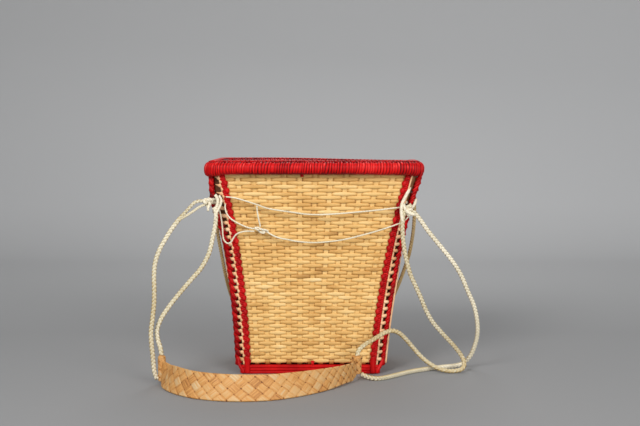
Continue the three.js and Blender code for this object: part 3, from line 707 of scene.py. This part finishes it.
def face_lashing(name, corner):
    """A strip on a front or back wall: broad leaves on its inner half and fine turns on its outer half."""
    def line(z):
        return at_corner(corner, -FACE_STRIP_INSET, 0, z)

    strip = (line, corner[0] * X_AXIS, corner[1] * Y_AXIS)
    half, deep = FACE_STRIP_WIDTH / 2, FACE_STRIP_THICKNESS
    leaves = dict(turn=(0.02, 0.5), pitch=2 * ROW_PITCH, climb=7, wide=4.4, thick=0.6, shade=0.38)
    turns = dict(turn=(0.36, 0.98), pitch=ROW_PITCH / 2, climb=-4, wide=1.5, thick=0.5, shade=0.46)
    build_red(f"{name}_face_lashing", [
        strip_core(strip, 0.88 * half, 0.3, 0.6 * deep),
        wraps(strip, half, 0.72 * deep, **leaves),
        wraps(strip, half, 0.7 * deep, **turns),
        *foot_straps(corner),
    ], f"{name}_face_strip")


def side_lashing(name, corner):
    """A strip on a side wall: leaning wraps, short turns behind it, and petals on its corner edge."""
    def line(z):
        return at_corner(corner, bow_off(z, corner) + SIDE_STRIP_X, SIDE_STRIP_Y, z)

    strip = (line, -corner[1] * Y_AXIS, corner[0] * X_AXIS)
    half, deep = SIDE_STRIP_WIDTH / 2 - 0.3, SIDE_STRIP_THICKNESS / 2 - 0.3
    leaning = dict(turn=(-0.36, 1.36), pitch=LASH_PITCH, climb=15, wide=4.9, thick=1.1, shade=0.4)
    behind = dict(turn=(1.2, 1.8), pitch=LASH_PITCH, climb=5, wide=5, thick=1, shade=0.35)
    build_red(f"{name}_side_lashing", [
        strip_core(strip, 0.9 * half, -0.85 * deep, 0.85 * deep),
        wraps(strip, half, deep, **leaning),
        wraps(strip, half, deep, **behind),
        edge_petals(corner, **PETALS[corner[0]]),
    ], f"{name}_side_strip")


for name, corner in CORNERS:
    face_lashing(name, corner)
    side_lashing(name, corner)

# Corners: natural cane rungs from the face strip round to the side strip, with rods and a near-black sheet of
# painted shade behind them
RUNG_PITCH, RUNG_START, RUNG_STATIONS = 12.6, 4, 12
ROD_STATIONS, GROUND_STATIONS, EDGE_ROD_STATIONS = 160, 60, 40
CORNER_PIVOT, CORNER_REACH_X, CORNER_REACH_Y = 7.5, 8.2, 7.6
POST_INSET, POST_HALF_WIDTH, POST_HALF_THICKNESS, SHADE_SHEET_HALF_THICKNESS = 8.6, 6.2, 0.9, 0.8
RUNGS = {
    -1: dict(top=RIM_BOTTOM, first=-0.1, last=0.9, slope=3.0, lift=0.8, tall=3.7, thick=2.5),
    1: dict(top=HITCH_HEIGHT - 4, first=0.06, last=0.66, slope=0.6, lift=2.0, tall=3.2, thick=1.7),
}
EDGE_RODS = {
    -1: dict(low=165, top=262, most=1.0, out=9.7),
    1: dict(low=WALL_BOTTOM + 2, top=215, most=2.1, out=10.4),
}
EDGE_ROD_TAPER = 65


def corner_curve(corner, z, turn, lift):
    """A curve round a corner: a quarter of a squared-off ellipse whose far end follows the side strip."""
    x = (CORNER_REACH_X + bow_off(z, corner) + lift) * squared(np.sin(turn), 0.8) - CORNER_PIVOT
    y = (CORNER_REACH_Y + lift) * squared(np.cos(turn), 0.8) - CORNER_PIVOT
    return at_corner(corner, x, y, z)


def rungs(corner, top, first, last, slope, lift, tall, thick):
    """Rungs round a corner: on the left, beads that swell as a bell curve, and on the right, bars.

    Above the hitch they end sooner.
    """
    count = int((top - WALL_BOTTOM - 3) / RUNG_PITCH)
    z = WALL_BOTTOM + RUNG_START + RUNG_PITCH * (np.arange(count) + 0.5)[:, None]
    z = z + chance.normal(0, 0.5, (count, 1))
    share = np.linspace(0, 1, RUNG_STATIONS)
    far = np.where(z > HITCH_HEIGHT + 4, 0.42, last) * np.pi / 2
    turn = first + (far - first) * share
    z = z + slope * (share - 0.5) + chance.normal(0, 1.0, (count, 1)) * (share - 0.5)
    centre = corner_curve(corner, z, turn, lift)
    facing = xyz(corner[0] * np.sin(turn), corner[1] * np.cos(turn), 0)
    bead = 0.22 + 0.78 * bell(share, 0.3, 0.26)
    swell = bead if corner[0] < 0 else 0.72 + 0.28 * np.sin(np.pi * share)
    tone = 0.6 + chance.normal(0, 0.08, (count, 1)) - 0.1 * share
    return lay_strip(centre, facing, tall * swell, thick * swell, BEAD, tone)


def rung_rod(corner):
    """A rod up over the rungs' near ends, which on the left swells between rungs as a squared cosine."""
    z = np.linspace(WALL_BOTTOM + 0.2, RIM_BOTTOM, ROD_STATIONS)
    x, y, thick, tone = -5.2, 0.5, 1.75, 0.66
    if corner[0] < 0:
        link = np.cos(np.pi * (z - WALL_BOTTOM - RUNG_START) / RUNG_PITCH) ** 2
        x, y, thick, tone = -5.4 - 1.6 * link, 0.4 + 2.2 * link, 0.4 + 2.1 * link, 0.56
    rod = at_corner(corner, x, y, z)
    return carry(rod[None], X_AXIS, Y_AXIS, thick, thick, THIN_ROUND, tone)


def shade_sheet(corner):
    """A dark flat strip behind the rungs, from under the face strip to the side strip, as painted shade."""
    z = np.linspace(WALL_BOTTOM + 0.2, RIM_BOTTOM, GROUND_STATIONS)
    near = at_corner(corner, -9.5, -2.6, z)
    far = at_corner(corner, bow_off(z, corner) + 0.5, -10.5, z)
    across = unit(far - near)[None]
    half = np.linalg.norm(far - near, axis=-1) / 2
    centre = ((near + far) / 2)[None]
    # Near-black tone: painted shade for the dark inside seen between the rungs
    return carry(centre, across, np.cross(across, Z_AXIS), half, SHADE_SHEET_HALF_THICKNESS, FLAT, 0.07)


def inner_post(corner):
    """A flat post inside a corner, which faces along the corner's diagonal."""
    z = np.linspace(WALL_BOTTOM + 0.2, RIM_BOTTOM, GROUND_STATIONS)
    post = at_corner(corner, -POST_INSET, -POST_INSET, z)
    across, facing = unit(np.array([[corner[0], -corner[1], 0], [corner[0], corner[1], 0]]))
    return carry(post[None], across, facing, POST_HALF_WIDTH, POST_HALF_THICKNESS, FLAT, 0.45)


def edge_rod(corner, low, top, most, out):
    """A rod up a part of a side strip's outer face, which thins to its top by a smooth step."""
    z = np.linspace(low, top, EDGE_ROD_STATIONS)
    rod = at_corner(corner, bow_off(z, corner) + out, SIDE_STRIP_Y + 1, z)
    thick = most * (1 - 0.7 * ease(z, top - EDGE_ROD_TAPER, top))
    return carry(rod[None], X_AXIS, Y_AXIS, thick, thick, THIN_ROUND, 0.64)


def corner_rungs(name, corner):
    """A corner's rungs, rod, painted-shade sheet and post, and at the front its edge rod."""
    parts = [rungs(corner, **RUNGS[corner[0]]), rung_rod(corner), shade_sheet(corner), inner_post(corner)]
    if corner[1] < 0:
        parts.append(edge_rod(corner, **EDGE_RODS[corner[0]]))
    build(f"{name}_rungs", parts, pale_cane, "basket", "pale_cane", f"{name}_stake")


for name, corner in CORNERS:
    corner_rungs(name, corner)

# Rim: turns of red cane strip round the hoops, with a plait along the top
RIM_MIDDLE_X = LEAN - 2
RIM_OUTER, RIM_INNER = dict(offset=17, corner=25), dict(offset=-15, corner=5)
RIM_SAG, RIM_HALF_HEIGHT, RIM_HALF_WIDTH, RIM_MIDDLE_Z = 4.5, 9.7, 16, RIM_BOTTOM + 10.6
TURN_PITCH, TURN_SWELL, TURN_LEAN = 4.7, 1.15, 1.5
STEPS_PER_TURN, RIM_SECTION_POINTS = 8, 32
PETAL_PITCH, PETAL_LEAN, PETAL_ARCH = 7.3, 8, 2.3
TAB_X, TAB_HALF_WIDTH = -13.2, 3.2


def rim_curve(offset, corner):
    """A rounded rectangle round the mouth: a quarter circle at each corner, with straight runs between."""
    sign_x, sign_y = np.array([[1, -1, -1, 1], [1, 1, -1, -1]])[..., None]
    angle = np.arange(4)[:, None] * np.pi / 2 + np.linspace(0, np.pi / 2, 25)
    x = RIM_MIDDLE_X + sign_x * (MOUTH_HALF_WIDTH + offset - corner) + corner * np.cos(angle)
    y = sign_y * (MOUTH_HALF_DEPTH + offset - corner) + corner * np.sin(angle)
    ring = np.stack([x, y], axis=-1).reshape(-1, 2)
    return np.vstack([ring, ring[:1]])


outer_ring, inner_ring = rim_curve(**RIM_OUTER), rim_curve(**RIM_INNER)
ring_length = np.concatenate([[0], np.cumsum(np.linalg.norm(np.diff(outer_ring, axis=0), axis=1))])
RIM_LENGTH = ring_length[-1]


def rim_point(s, part):
    """A plan point at a length along the outer ring, and a part of the way out from the inner ring."""
    s = np.mod(s, RIM_LENGTH)
    outer = [np.interp(s, ring_length, outer_ring[:, k]) for k in range(2)]
    inner = [np.interp(s, ring_length, inner_ring[:, k]) for k in range(2)]
    return [i + part * (o - i) for i, o in zip(inner, outer)]


def rim_sag(x, y):
    """How far the handmade rim lies low towards the back right corner: a product of two smooth steps."""
    return RIM_SAG * ease(x, -80, 180) * ease(y, -60, 100)


def rim_fullness(x, y):
    """How much deeper the handmade rim is at its corners, and most at the front left end."""
    corners = ease(np.abs(x - RIM_MIDDLE_X), 150, 185) * ease(np.abs(y), 80, 118)
    front = ease(-y, 60, 112)
    return 1.6 * corners + front * (1.1 * ease(x, 60, 180) + 2.4 * ease(-x, 135, 178))


def rim_wrapping():
    """A rounded roll whose surface swells over each turn of strip and sinks to a groove between turns.

    Its section is a squared-off ellipse, fuller below than above, and the turns lean a little. Each turn has
    its own random swell, painted shade in its grooves and a pale spot on its crown, partly worn dye and
    partly painted highlight. The top under the plait and the inner side carry painted shade.
    """
    turns = round(RIM_LENGTH / TURN_PITCH)
    ends = np.concatenate([[0], np.cumsum(1 + np.clip(chance.normal(0, 0.16, turns), -0.3, 0.3))])
    ends *= RIM_LENGTH / ends[-1]
    phase = np.arange(turns * STEPS_PER_TURN) / STEPS_PER_TURN
    s = np.interp(phase, np.arange(turns + 1), ends)[:, None]
    within = (phase % 1)[:, None]
    which = phase.astype(int)

    def each(values):
        """Each turn's own value, at every station of the turn."""
        return values[which][:, None]

    uneven = 1 + each(np.clip(chance.normal(0, 0.35, turns), -0.75, 0.5))
    rounded = 1 - np.abs(2 * within - 1) ** 3
    swell = TURN_SWELL * rounded * uneven
    a = (np.arange(RIM_SECTION_POINTS) + 0.5) * 2 * np.pi / RIM_SECTION_POINTS
    round_off = np.where(np.sin(a) > 0, 0.84, 0.7)
    out, up = squared(np.cos(a), round_off), squared(np.sin(a), round_off)
    slant = s + TURN_LEAN * np.sin(a) * (1 + each(chance.normal(0, 0.4, turns)))
    part = 0.5 + 0.5 * out * (1 - (1.0 - swell) / RIM_HALF_WIDTH)
    x, y = rim_point(slant, part)
    deep = rim_fullness(x, y)
    z = RIM_MIDDLE_Z - rim_sag(x, y) - 0.7 * deep + up * (RIM_HALF_HEIGHT + swell + deep)
    wear_and_highlight = each(np.clip(chance.exponential(0.3, turns), 0, 0.8))
    spot = 0.45 + each(chance.normal(0, 0.25, turns))
    crown = bell(a, spot, 0.28) * (1 - np.abs(2 * within - 1))
    # Painted shade in the grooves, and a pale crown spot that is partly wear and partly painted highlight
    tone = each(0.57 + chance.normal(0, 0.07, turns)) + 0.55 * (rounded - 1) * uneven + wear_and_highlight * crown
    # Painted shade on the top under the plait and on the inner side
    tone = tone - 0.75 * ease(np.sin(a), 0.82, 0.95) - 0.16 * ease(-np.cos(a), 0.1, 0.8)
    return with_lay(xyz(x, y, z), a * 14, within * TURN_PITCH, tone)[None]


def rim_plait():
    """Two sets of slanting petals on the rim's top, each an arch over a narrow band, and a tab below."""
    count = round(RIM_LENGTH / PETAL_PITCH)
    start = np.arange(count)[:, None] * RIM_LENGTH / count
    t = np.linspace(0, 1, PETAL_STATIONS)
    parts = []
    for lean, shift in ((1, 0.0), (-1, 0.5)):
        s = start + lean * PETAL_LEAN * (t - 0.5) + shift * RIM_LENGTH / count
        x, y = rim_point(s + chance.normal(0, 0.3, (count, 1)), 0.53 + 0.22 * (2 * t - 1))
        z = RIM_TOP + 2.2 - rim_sag(x, y) + PETAL_ARCH * np.sin(np.pi * t) ** 0.6
        z = z + 0.4 * lean * np.cos(np.pi * t)
        # Painted shade towards each petal's ends, where they go under
        tone = 0.56 + chance.normal(0, 0.1, (count, 1)) - 0.34 * np.abs(2 * t - 1)
        parts.append(lay_strip(xyz(x, y, z), Z_AXIS, 1.35, 0.9, LASH, tone))
    z = np.linspace(RIM_BOTTOM + 4, RIM_BOTTOM - 4.5, 8)
    tab = xyz(TAB_X, -half_depth(z) - 0.7, z)[None]
    parts.append(carry(tab, X_AXIS, -Y_AXIS, TAB_HALF_WIDTH, 0.8, LASH, 0.5))
    return parts


build_red("rim_turns", [rim_wrapping()], "rim_binding", ring=True)
build_red("rim_top_plait", rim_plait(), "rim_plait")

# Base frame: stacked laths, with ties to the front and back walls
RAIL_HEIGHT, RAIL_THICKNESS, RAIL_CORNER = 15, 12, 7
RAIL_HALF_WIDTH, RAIL_HALF_DEPTH, RUNNER_HALF_WIDTH = 121.5, 86, 8
INNER_DEPTH = RAIL_HALF_DEPTH - RAIL_THICKNESS
LATHS, LATH_STATIONS = 3, 61
TIE_X, TIE_HALF_WIDTH, TIE_HALF_THICKNESS = 4.4, 1.9, 0.8


def rail_laths(half_length, outer, inner, turned, rounding=0):
    """Stacked laths: flat ovals along a rail, whose outer edge follows a quarter circle at rounded ends."""
    along = np.linspace(-half_length, half_length, LATH_STATIONS)
    nearness = np.clip((np.abs(along) - (half_length - rounding)) / max(rounding, 1e-6), 0, 1)
    shrink = rounding * (1 - np.sqrt(1 - 0.97 * nearness**2))
    sign = np.sign(outer)
    tall = RAIL_HEIGHT / LATHS
    z = (tall * (np.arange(LATHS) + 0.5))[:, None] + 0 * along
    edge = sign * (abs(outer) - shrink) + sign * drift(LATHS, len(along), 7, 0.18)
    middle_line = (edge + inner) / 2
    half = np.abs(edge - inner) / 2
    centre = xyz(middle_line, along, z) if turned else xyz(along, middle_line, z)
    across = X_AXIS if turned else Y_AXIS
    tone = 0.5 + chance.normal(0, 0.06, (LATHS, 1)) + drift(LATHS, len(along), 9, 0.05)
    return [carry(centre, across, Z_AXIS, half, tall * 0.5, LATH, tone)]


def rail_tie(side):
    """Two crossing turns of strip on the rail's ledge: small arches from the rail up against the wall."""
    t = np.linspace(0, np.pi, 9)
    parts = []
    for lean in (1, -1):
        x = TIE_X + lean * 1.6 * np.cos(t)
        z = WALL_BOTTOM + 3 - 3.6 * np.cos(t)
        y = side * (half_depth(WALL_BOTTOM) + 0.6 + (2.2 + 0.6 * lean) * np.sin(t) ** 0.7)
        facing = unit(xyz(0 * t, side * np.sin(t) + side * 0.3, -np.cos(t)))[None]
        parts.append(lay_strip(xyz(x, y, z)[None], facing, TIE_HALF_WIDTH, TIE_HALF_THICKNESS, LASH, 0.55))
    return parts


for end, side in FACES:
    laths = rail_laths(RAIL_HALF_WIDTH, side * RAIL_HALF_DEPTH, side * INNER_DEPTH, False, RAIL_CORNER)
    build_red(f"{end}_base_laths", laths, f"{end}_rail")
for end, side in SIDES:
    laths = rail_laths(INNER_DEPTH, side * RAIL_HALF_WIDTH, side * (RAIL_HALF_WIDTH - RAIL_THICKNESS), True)
    build_red(f"{end}_base_laths", laths, f"{end}_rail")
runner = rail_laths(INNER_DEPTH, RUNNER_HALF_WIDTH, -RUNNER_HALF_WIDTH, True)
build_red("base_runner_laths", runner, "base_runner")
for end, side in FACES:
    build_red(f"{end}_tie_turns", rail_tie(side), f"{end}_tie")

# Hitches: turns of cord round each front side strip, and a knot in front
HITCH_TURN, HITCH_STRANDS, COIL_CLIMB = 9, 3, 5.4
COIL_HALF_X, COIL_HALF_Y = 7.6, 9.2


def knot_path(place, size, stretch=(1, 1, 1)):
    """A trefoil knot: sines and cosines of one and two turns, with the depth a sine of three turns."""
    t = np.linspace(0, 2 * np.pi, 100)[:-4]
    x, z = np.sin(t) + 2 * np.sin(2 * t), np.cos(t) - 2 * np.cos(2 * t)
    return np.array(place) + size * np.array(stretch) * xyz(x, 1.15 * np.sin(3 * t), z)


def strip_centre(side_x):
    """The middle of a front side strip at the hitch height."""
    corner = (side_x, -1)
    return at_corner(corner, bow_off(HITCH_HEIGHT, corner) + SIDE_STRIP_X, SIDE_STRIP_Y, HITCH_HEIGHT)[:2]


def turns_path(side_x, count):
    """Turns round a side strip: a squared-off ellipse that climbs a cord's width each time round."""
    t = np.linspace(0, 2 * np.pi * count, 60 * count)
    z = HITCH_HEIGHT + COIL_CLIMB * (t / (2 * np.pi) - count / 2)
    x, y = strip_centre(side_x)
    x = x + side_x * COIL_HALF_X * squared(np.cos(t), 0.7)
    return xyz(x, y + COIL_HALF_Y * squared(np.sin(t), 0.7), z)


def hitch(side, knots, strands):
    """A hitch: coils and knots on given paths, and strands along chosen points, each with its width."""
    paths = knots + [(smooth_path(points, 1), wide) for points, wide in strands]
    parts = [twisted_strands(path, wide, HITCH_TURN, HITCH_STRANDS) for path, wide in paths]
    build(f"{side}_hitch_knot", parts, cord_yarn, "basket", "braid_cord", f"{side}_hitch")


hitch("left", [(turns_path(-1, 2), 5.5), (knot_path((-172, -111.6, 300), 2.35), 5.4)], [
    ([(-160, -107, 312), (-156, -110.5, 306), (-155.5, -113, 298), (-158.5, -114.5, 290),
      (-160.5, -115, 284)], 6.2),
    ([(-153.5, -106, 311), (-150, -109.5, 305), (-150.5, -112.5, 297), (-154.5, -115.5, 288),
      (-158.5, -117.5, 279), (-160.5, -118.5, 270)], 4.6),
    ([(-168, -116, 297), (-171, -118.5, 292), (-171.5, -119, 286)], 5.0),
])
hitch("right", [(knot_path((167, -115.6, 284.5), 1.9), 5.0)], [
    ([(170, -95, 324), (167, -104, 318), (161, -111, 308), (155.8, -115, 298), (154.4, -116.6, 288),
      (155, -117, 277), (156.4, -116.4, 268)], 6.2),
    (np.array([(-8, -3, 298), (-7.4, 6, 301), (-1, 10.4, 304), (6.2, 7, 305.5), (8, -1, 303), (6, -7.6, 297),
               (1, -10.6, 290), (-4.5, -12, 284)]) + (*strip_centre(1), 0), 5.4),
    ([(158.5, -114.5, 297), (160.5, -116.8, 290), (165, -118.4, 284), (170.5, -117.6, 280.5),
      (177, -115.4, 279.5)], 6.0),
])

# The knot that joins the front strings: a trefoil drawn out sideways, which slopes down to the right
KNOT_PLACE, KNOT_SLOPE, KNOT_STRING, KNOT_TURN = (-82, -108, 252), -0.28, 3.7, 6
knot_line = knot_path((0, 0, 0), 1.75, (2.2, 1.1, 0.75))
knot_line = knot_line + xyz(0, 0, KNOT_SLOPE * knot_line[:, 0]) + np.array(KNOT_PLACE)
knot_strands = twisted_strands(knot_line, KNOT_STRING, KNOT_TURN)
build("string_tie_knot", [knot_strands], cord_yarn, "basket", "braid_cord", "string_knot")

# Forehead band: a diagonal plait of flat strips, bowed to the front, with its ends turned back
BAND_ROUTE = smooth_path([
    (-246, -160, 0), (-240, -194, 0), (-215, -234, 0), (-181, -263, 0), (-140, -279, 0), (-102, -282.5, 0),
    (-58, -275, 0), (-13, -249, 0), (33, -206, 0), (66, -161, 0), (80, -128, 0),
], 0.78)
BAND_WIDTH, BAND_LEFT_WIDTH, BAND_RIGHT_WIDTH, BAND_LEAN = 43, 38, 33, 22
BAND_LEFT_RUN, BAND_UPRIGHT_RUN, HEM_LENGTH = 70, 180, 26
BAND_LEFT_LIFT, BAND_RIGHT_LIFT, BAND_EDGE, BAND_CLEARANCE = 1, 8, 1.6, 0.9
BAND_STRIP, BAND_SLOPE, BAND_ROW_SHIFT = 14.4, math.radians(39), -1.6
BAND_CROWN, BAND_WAVE, BAND_FILL, BAND_HALF_THICKNESS = 0.6, 0.8, 0.91, 0.35
BAND_POINTS, HEM_STATIONS, HEM_POINTS = 47, 54, 44
TONE_COUNT = 90
first_tones = 0.57 + np.clip(chance.normal(0, 0.12, TONE_COUNT), -0.13, 0.22)
second_tones = 0.51 + np.clip(chance.normal(0, 0.12, TONE_COUNT), -0.1, 0.25)
cell_tones = np.clip(chance.normal(0, 0.06, (TONE_COUNT, TONE_COUNT)), -0.08, 0.12)
# Random depths of painted shade in the holes and along the strips' edges
hole_shades = 0.06 + 0.6 * chance.random((TONE_COUNT, TONE_COUNT)) ** 3
edge_shades = 0.1 + 0.3 * chance.random((TONE_COUNT, TONE_COUNT))


def crowned(wave, edge):
    """A strip's height: its wave and a crown across its width, or the lowest height past the strip's edge."""
    return np.where(edge > 1, -BAND_WAVE, wave + BAND_CROWN * (1 - np.minimum(edge, 1) ** 8))


def cell(number):
    """The place of a strip's number in the tables of random tones."""
    return np.floor(number).astype(int) % TONE_COUNT


def plait_surface(s, t, back, crushed):
    """Height, tone and strip coordinates of a diagonal plain plait at a length along and a height up it.

    Strips cross at equal slopes and fill a part of their pitch. Each one rises and sinks as a squared-off
    cosine with a period of two strips and is crowned across its width. The higher of the two shows, or the
    lower on the back. A strip has painted shade at its edges and where it dips, and a hole is left where four
    strips meet, with painted shade in it. Where the band is crushed, strips are narrower, tones more alike
    and the holes' painted shade deeper.
    """
    t = t + BAND_ROW_SHIFT
    along, up = s * math.sin(BAND_SLOPE) / BAND_STRIP, t * math.cos(BAND_SLOPE) / BAND_STRIP
    p, q = along + up, along - up
    i, j = np.floor(p), np.floor(q)
    sign = -1 if back else 1
    fill = BAND_FILL - 0.1 * crushed
    first_edge, second_edge = np.abs(2 * (p - i) - 1) / fill, np.abs(2 * (q - j) - 1) / fill
    first = crowned(sign * BAND_WAVE * squared(np.cos(np.pi * (q - 0.5 - i)), 0.6), first_edge)
    second = crowned(-sign * BAND_WAVE * squared(np.cos(np.pi * (p - 0.5 - j)), 0.6), second_edge)
    upper = first > second
    a, b = cell(p), cell(q)
    edge = np.where(upper, first_edge, second_edge)
    dip = np.where(upper, second_edge, first_edge)
    # Painted shade along a strip's edges and where it dips
    shade = edge_shades[a, b] * ease(edge, 0.86, 1) + 0.1 * ease(dip, 0.8, 1.1)
    tone = np.where(upper, first_tones[a], second_tones[b]) + cell_tones[a, b]
    tone = tone + 0.6 * crushed * (0.6 - tone) - shade
    # Painted shade in the hole where four strips meet, deeper where the band is crushed
    hole = ease(np.minimum(first_edge, second_edge), 0.94, 1.02)
    tone = tone - (1 + 2 * crushed) * hole * hole_shades[cell(p + 0.5), cell(q + 0.5)]
    lay = np.where(upper, q, p) * BAND_STRIP
    across = np.where(upper, p, q) * BAND_STRIP
    return np.maximum(np.maximum(first, second), 0) + BAND_HALF_THICKNESS, tone, lay, across


def quarter_round(distance, radius):
    """The height of a quarter circle at a distance from its edge, as a share of its radius."""
    return 1 - (1 - np.clip(distance / radius, 0, 1)) ** 2


def forehead_band():
    """The bowed band: the plait's two faces joined round both edges, on its lower edge and leaning back.

    Its width and lift change by smooth steps at its ends, and two bell curves gather it near its right end,
    where the plait is crushed.
    """
    along = np.linspace(0, path_length(BAND_ROUTE), len(BAND_ROUTE))[:, None]
    from_right = along[-1] - along
    tangent = unit(np.gradient(BAND_ROUTE, axis=0))
    inward = np.stack([-tangent[:, 1], tangent[:, 0], 0 * tangent[:, 0]], axis=1)[:, None]
    to_end = np.minimum(along, from_right)
    opened = ease(to_end, 0, HEM_LENGTH)
    lean = np.radians(BAND_LEAN) * opened * ease(from_right, 0, BAND_UPRIGHT_RUN)
    left = along < along[-1] / 2
    spread = ease(to_end, 0, np.where(left, BAND_LEFT_RUN, BAND_UPRIGHT_RUN))
    narrow = np.where(left, BAND_LEFT_WIDTH, BAND_RIGHT_WIDTH)
    gather = bell(from_right, 50, 36)
    width = narrow + (BAND_WIDTH - narrow) * spread
    width = width - 3 * gather - 3.2 * bell(from_right, 140, 80)
    lift = np.where(left, BAND_LEFT_LIFT, BAND_RIGHT_LIFT) * (1 - opened) + 2.6 * gather
    crushed = 1 - ease(from_right, 30, 130)
    part = np.linspace(0, 1, BAND_POINTS)
    t = np.concatenate([part, part[::-1]]) * width
    front = np.arange(2 * BAND_POINTS) < BAND_POINTS
    tight = along + 0.0035 * np.maximum(0, 120 - from_right) ** 2 - 0.004 * np.maximum(0, 70 - along) ** 2
    face, tone, lay, across = plait_surface(tight, t * (1 + 0.3 * crushed), False, crushed)
    rear, rear_tone = plait_surface(tight, t * (1 + 0.3 * crushed), True, crushed)[:2]
    round_off = np.sqrt(np.clip(quarter_round(np.minimum(t, width - t), BAND_EDGE), 0, 1))
    depth = np.where(front, -face, rear) * np.clip(round_off, 0.06, 1)
    upright, leaning = np.cos(lean)[..., None], np.sin(lean)[..., None]
    up, back = Z_AXIS * upright + inward * leaning, inward * upright - Z_AXIS * leaning
    foot = BAND_ROUTE[:, None] + Z_AXIS * (lift + BAND_CLEARANCE)[..., None]
    place = foot + t[..., None] * up + depth[..., None] * back
    return with_lay(place, lay, across, np.where(front, tone, rear_tone))[None]


def hem_roll(right, low, tall, radius, flat, turn, flare):
    """An end turned back into an upright roll: an oval column that flares up, with the plait round it.

    Right is 0 for the left end and 1 for the right end, whose plait is crushed.
    """
    z = np.linspace(0, tall, HEM_STATIONS)[:, None]
    a = np.arange(HEM_POINTS) * 2 * np.pi / HEM_POINTS
    height, tone, lay, across = plait_surface(a * radius * 1.5 + 8 * right, z * 1.4, False, right)
    round_off = np.sqrt(np.clip(quarter_round(np.minimum(z, tall - z), 2.2), 0.03, 1))
    swell = (radius * round_off + height * 0.7) * (1 + flare * (z / tall) ** 2)
    x, y = swell * np.cos(a), swell * flat * np.sin(a)
    foot = BAND_ROUTE[-right]
    place = xyz(
        foot[0] + x * math.cos(turn) - y * math.sin(turn), foot[1] + x * math.sin(turn) + y * math.cos(turn),
        z + low,
    )
    return with_lay(place, lay, across, tone)[None]


build("forehead_plait", [
    forehead_band(),
    hem_roll(0, low=4.2, tall=44, radius=5.4, flat=1.0, turn=0, flare=0),
    hem_roll(1, low=9.5, tall=32, radius=6.8, flat=0.86, turn=2.0, flare=0.4),
], band_plait, "harness", "plaited_band", "headband")

# Hoops that stay hidden inside the rim's turns keep their solids, in the red finish
for node in ("rim_outer_hoop", "rim_inner_hoop"):
    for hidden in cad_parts[node].material_slots:
        hidden.material = red_cane

# Stage, in metres: a grey sweep, key, fill and back lights, and a soft world
SWEEP_HALF_WIDTH, SWEEP_FRONT, SWEEP_FOOT, SWEEP_RADIUS, SWEEP_TOP = 16, -16, 1.5, 0.9, 4.5
# The floor's grey; the backdrop's paler grey and the sideways change are painted light
FLOOR_GREY, BACKDROP_GREY = 0.257, 0.49
GREY_RUN, SIDE_RUN, SIDE_LIGHT = (0.3, 2.0), (-2, 2), (0.9, 1.1)


def sweep():
    """A floor that turns up into a backdrop: a straight run, a quarter circle and an upright, carried across.

    It is paler towards the backdrop and a little paler to the right, each in proportion to the distance:
    painted light that stands in for the brighter lighting there.
    """
    turn = np.linspace(0, np.pi / 2, 24)
    y = SWEEP_FOOT + SWEEP_RADIUS * np.sin(turn)
    y = np.concatenate([[SWEEP_FRONT], y, [SWEEP_FOOT + SWEEP_RADIUS]])
    z = np.concatenate([[0], SWEEP_RADIUS - SWEEP_RADIUS * np.cos(turn), [SWEEP_TOP]])
    points = xyz(np.array([-SWEEP_HALF_WIDTH, SWEEP_HALF_WIDTH])[:, None], y, z).reshape(-1, 3)
    n = len(y)
    i = np.arange(n - 1)
    faces = np.stack([i, i + n, i + n + 1, i + 1], axis=1)
    mesh = bpy.data.meshes.new("sweep")
    mesh.from_pydata(points.tolist(), [], faces.tolist())
    mesh.polygons.foreach_set("use_smooth", np.ones(len(faces), bool))
    material, tree, shader = new_finish("grey_sweep")
    place = shader_node(tree, "TexCoord", {}).outputs["Object"]
    apart = shader_node(tree, "SeparateXYZ", {"Vector": place}).outputs
    # Painted light: paler towards the backdrop and to the right
    grey = ranged(tree, apart["Y"], *GREY_RUN, FLOOR_GREY, BACKDROP_GREY)
    side_light = ranged(tree, apart["X"], *SIDE_RUN, *SIDE_LIGHT)
    feed(tree, shader, {"Base Color": joined(tree, "MULTIPLY", grey, side_light), "Roughness": 0.9})
    mesh.materials.append(material)
    piece = bpy.data.objects.new("sweep", mesh)
    scene.collection.objects.link(piece)


def soft_light(name, place, target, size, power):
    lamp = bpy.data.lights.new(name, "AREA")
    lamp.shape = "DISK"
    lamp.size = size
    lamp.energy = power
    item = bpy.data.objects.new(name, lamp)
    item.location = place
    aim = np.subtract(target, place)
    item.rotation_euler = (math.acos(-aim[2] / np.linalg.norm(aim)), 0, math.atan2(aim[0], -aim[1]) + math.pi)
    scene.collection.objects.link(item)


sweep()
soft_light("key", place=(-1.3, -2.4, 1.9), target=(0, 0, 0.2), size=1.2, power=62)
soft_light("fill", place=(1.5, -2.7, 1.1), target=(0, 0, 0.2), size=1.8, power=56)
soft_light("back", place=(0.1, 1.2, 1.7), target=(0, 0, 0.25), size=1.0, power=11)
world = bpy.data.worlds.new("studio")
world.use_nodes = True
world.node_tree.nodes["Background"].inputs["Color"].default_value = (0.95, 0.97, 1, 1)
world.node_tree.nodes["Background"].inputs["Strength"].default_value = 0.4
scene.world = world
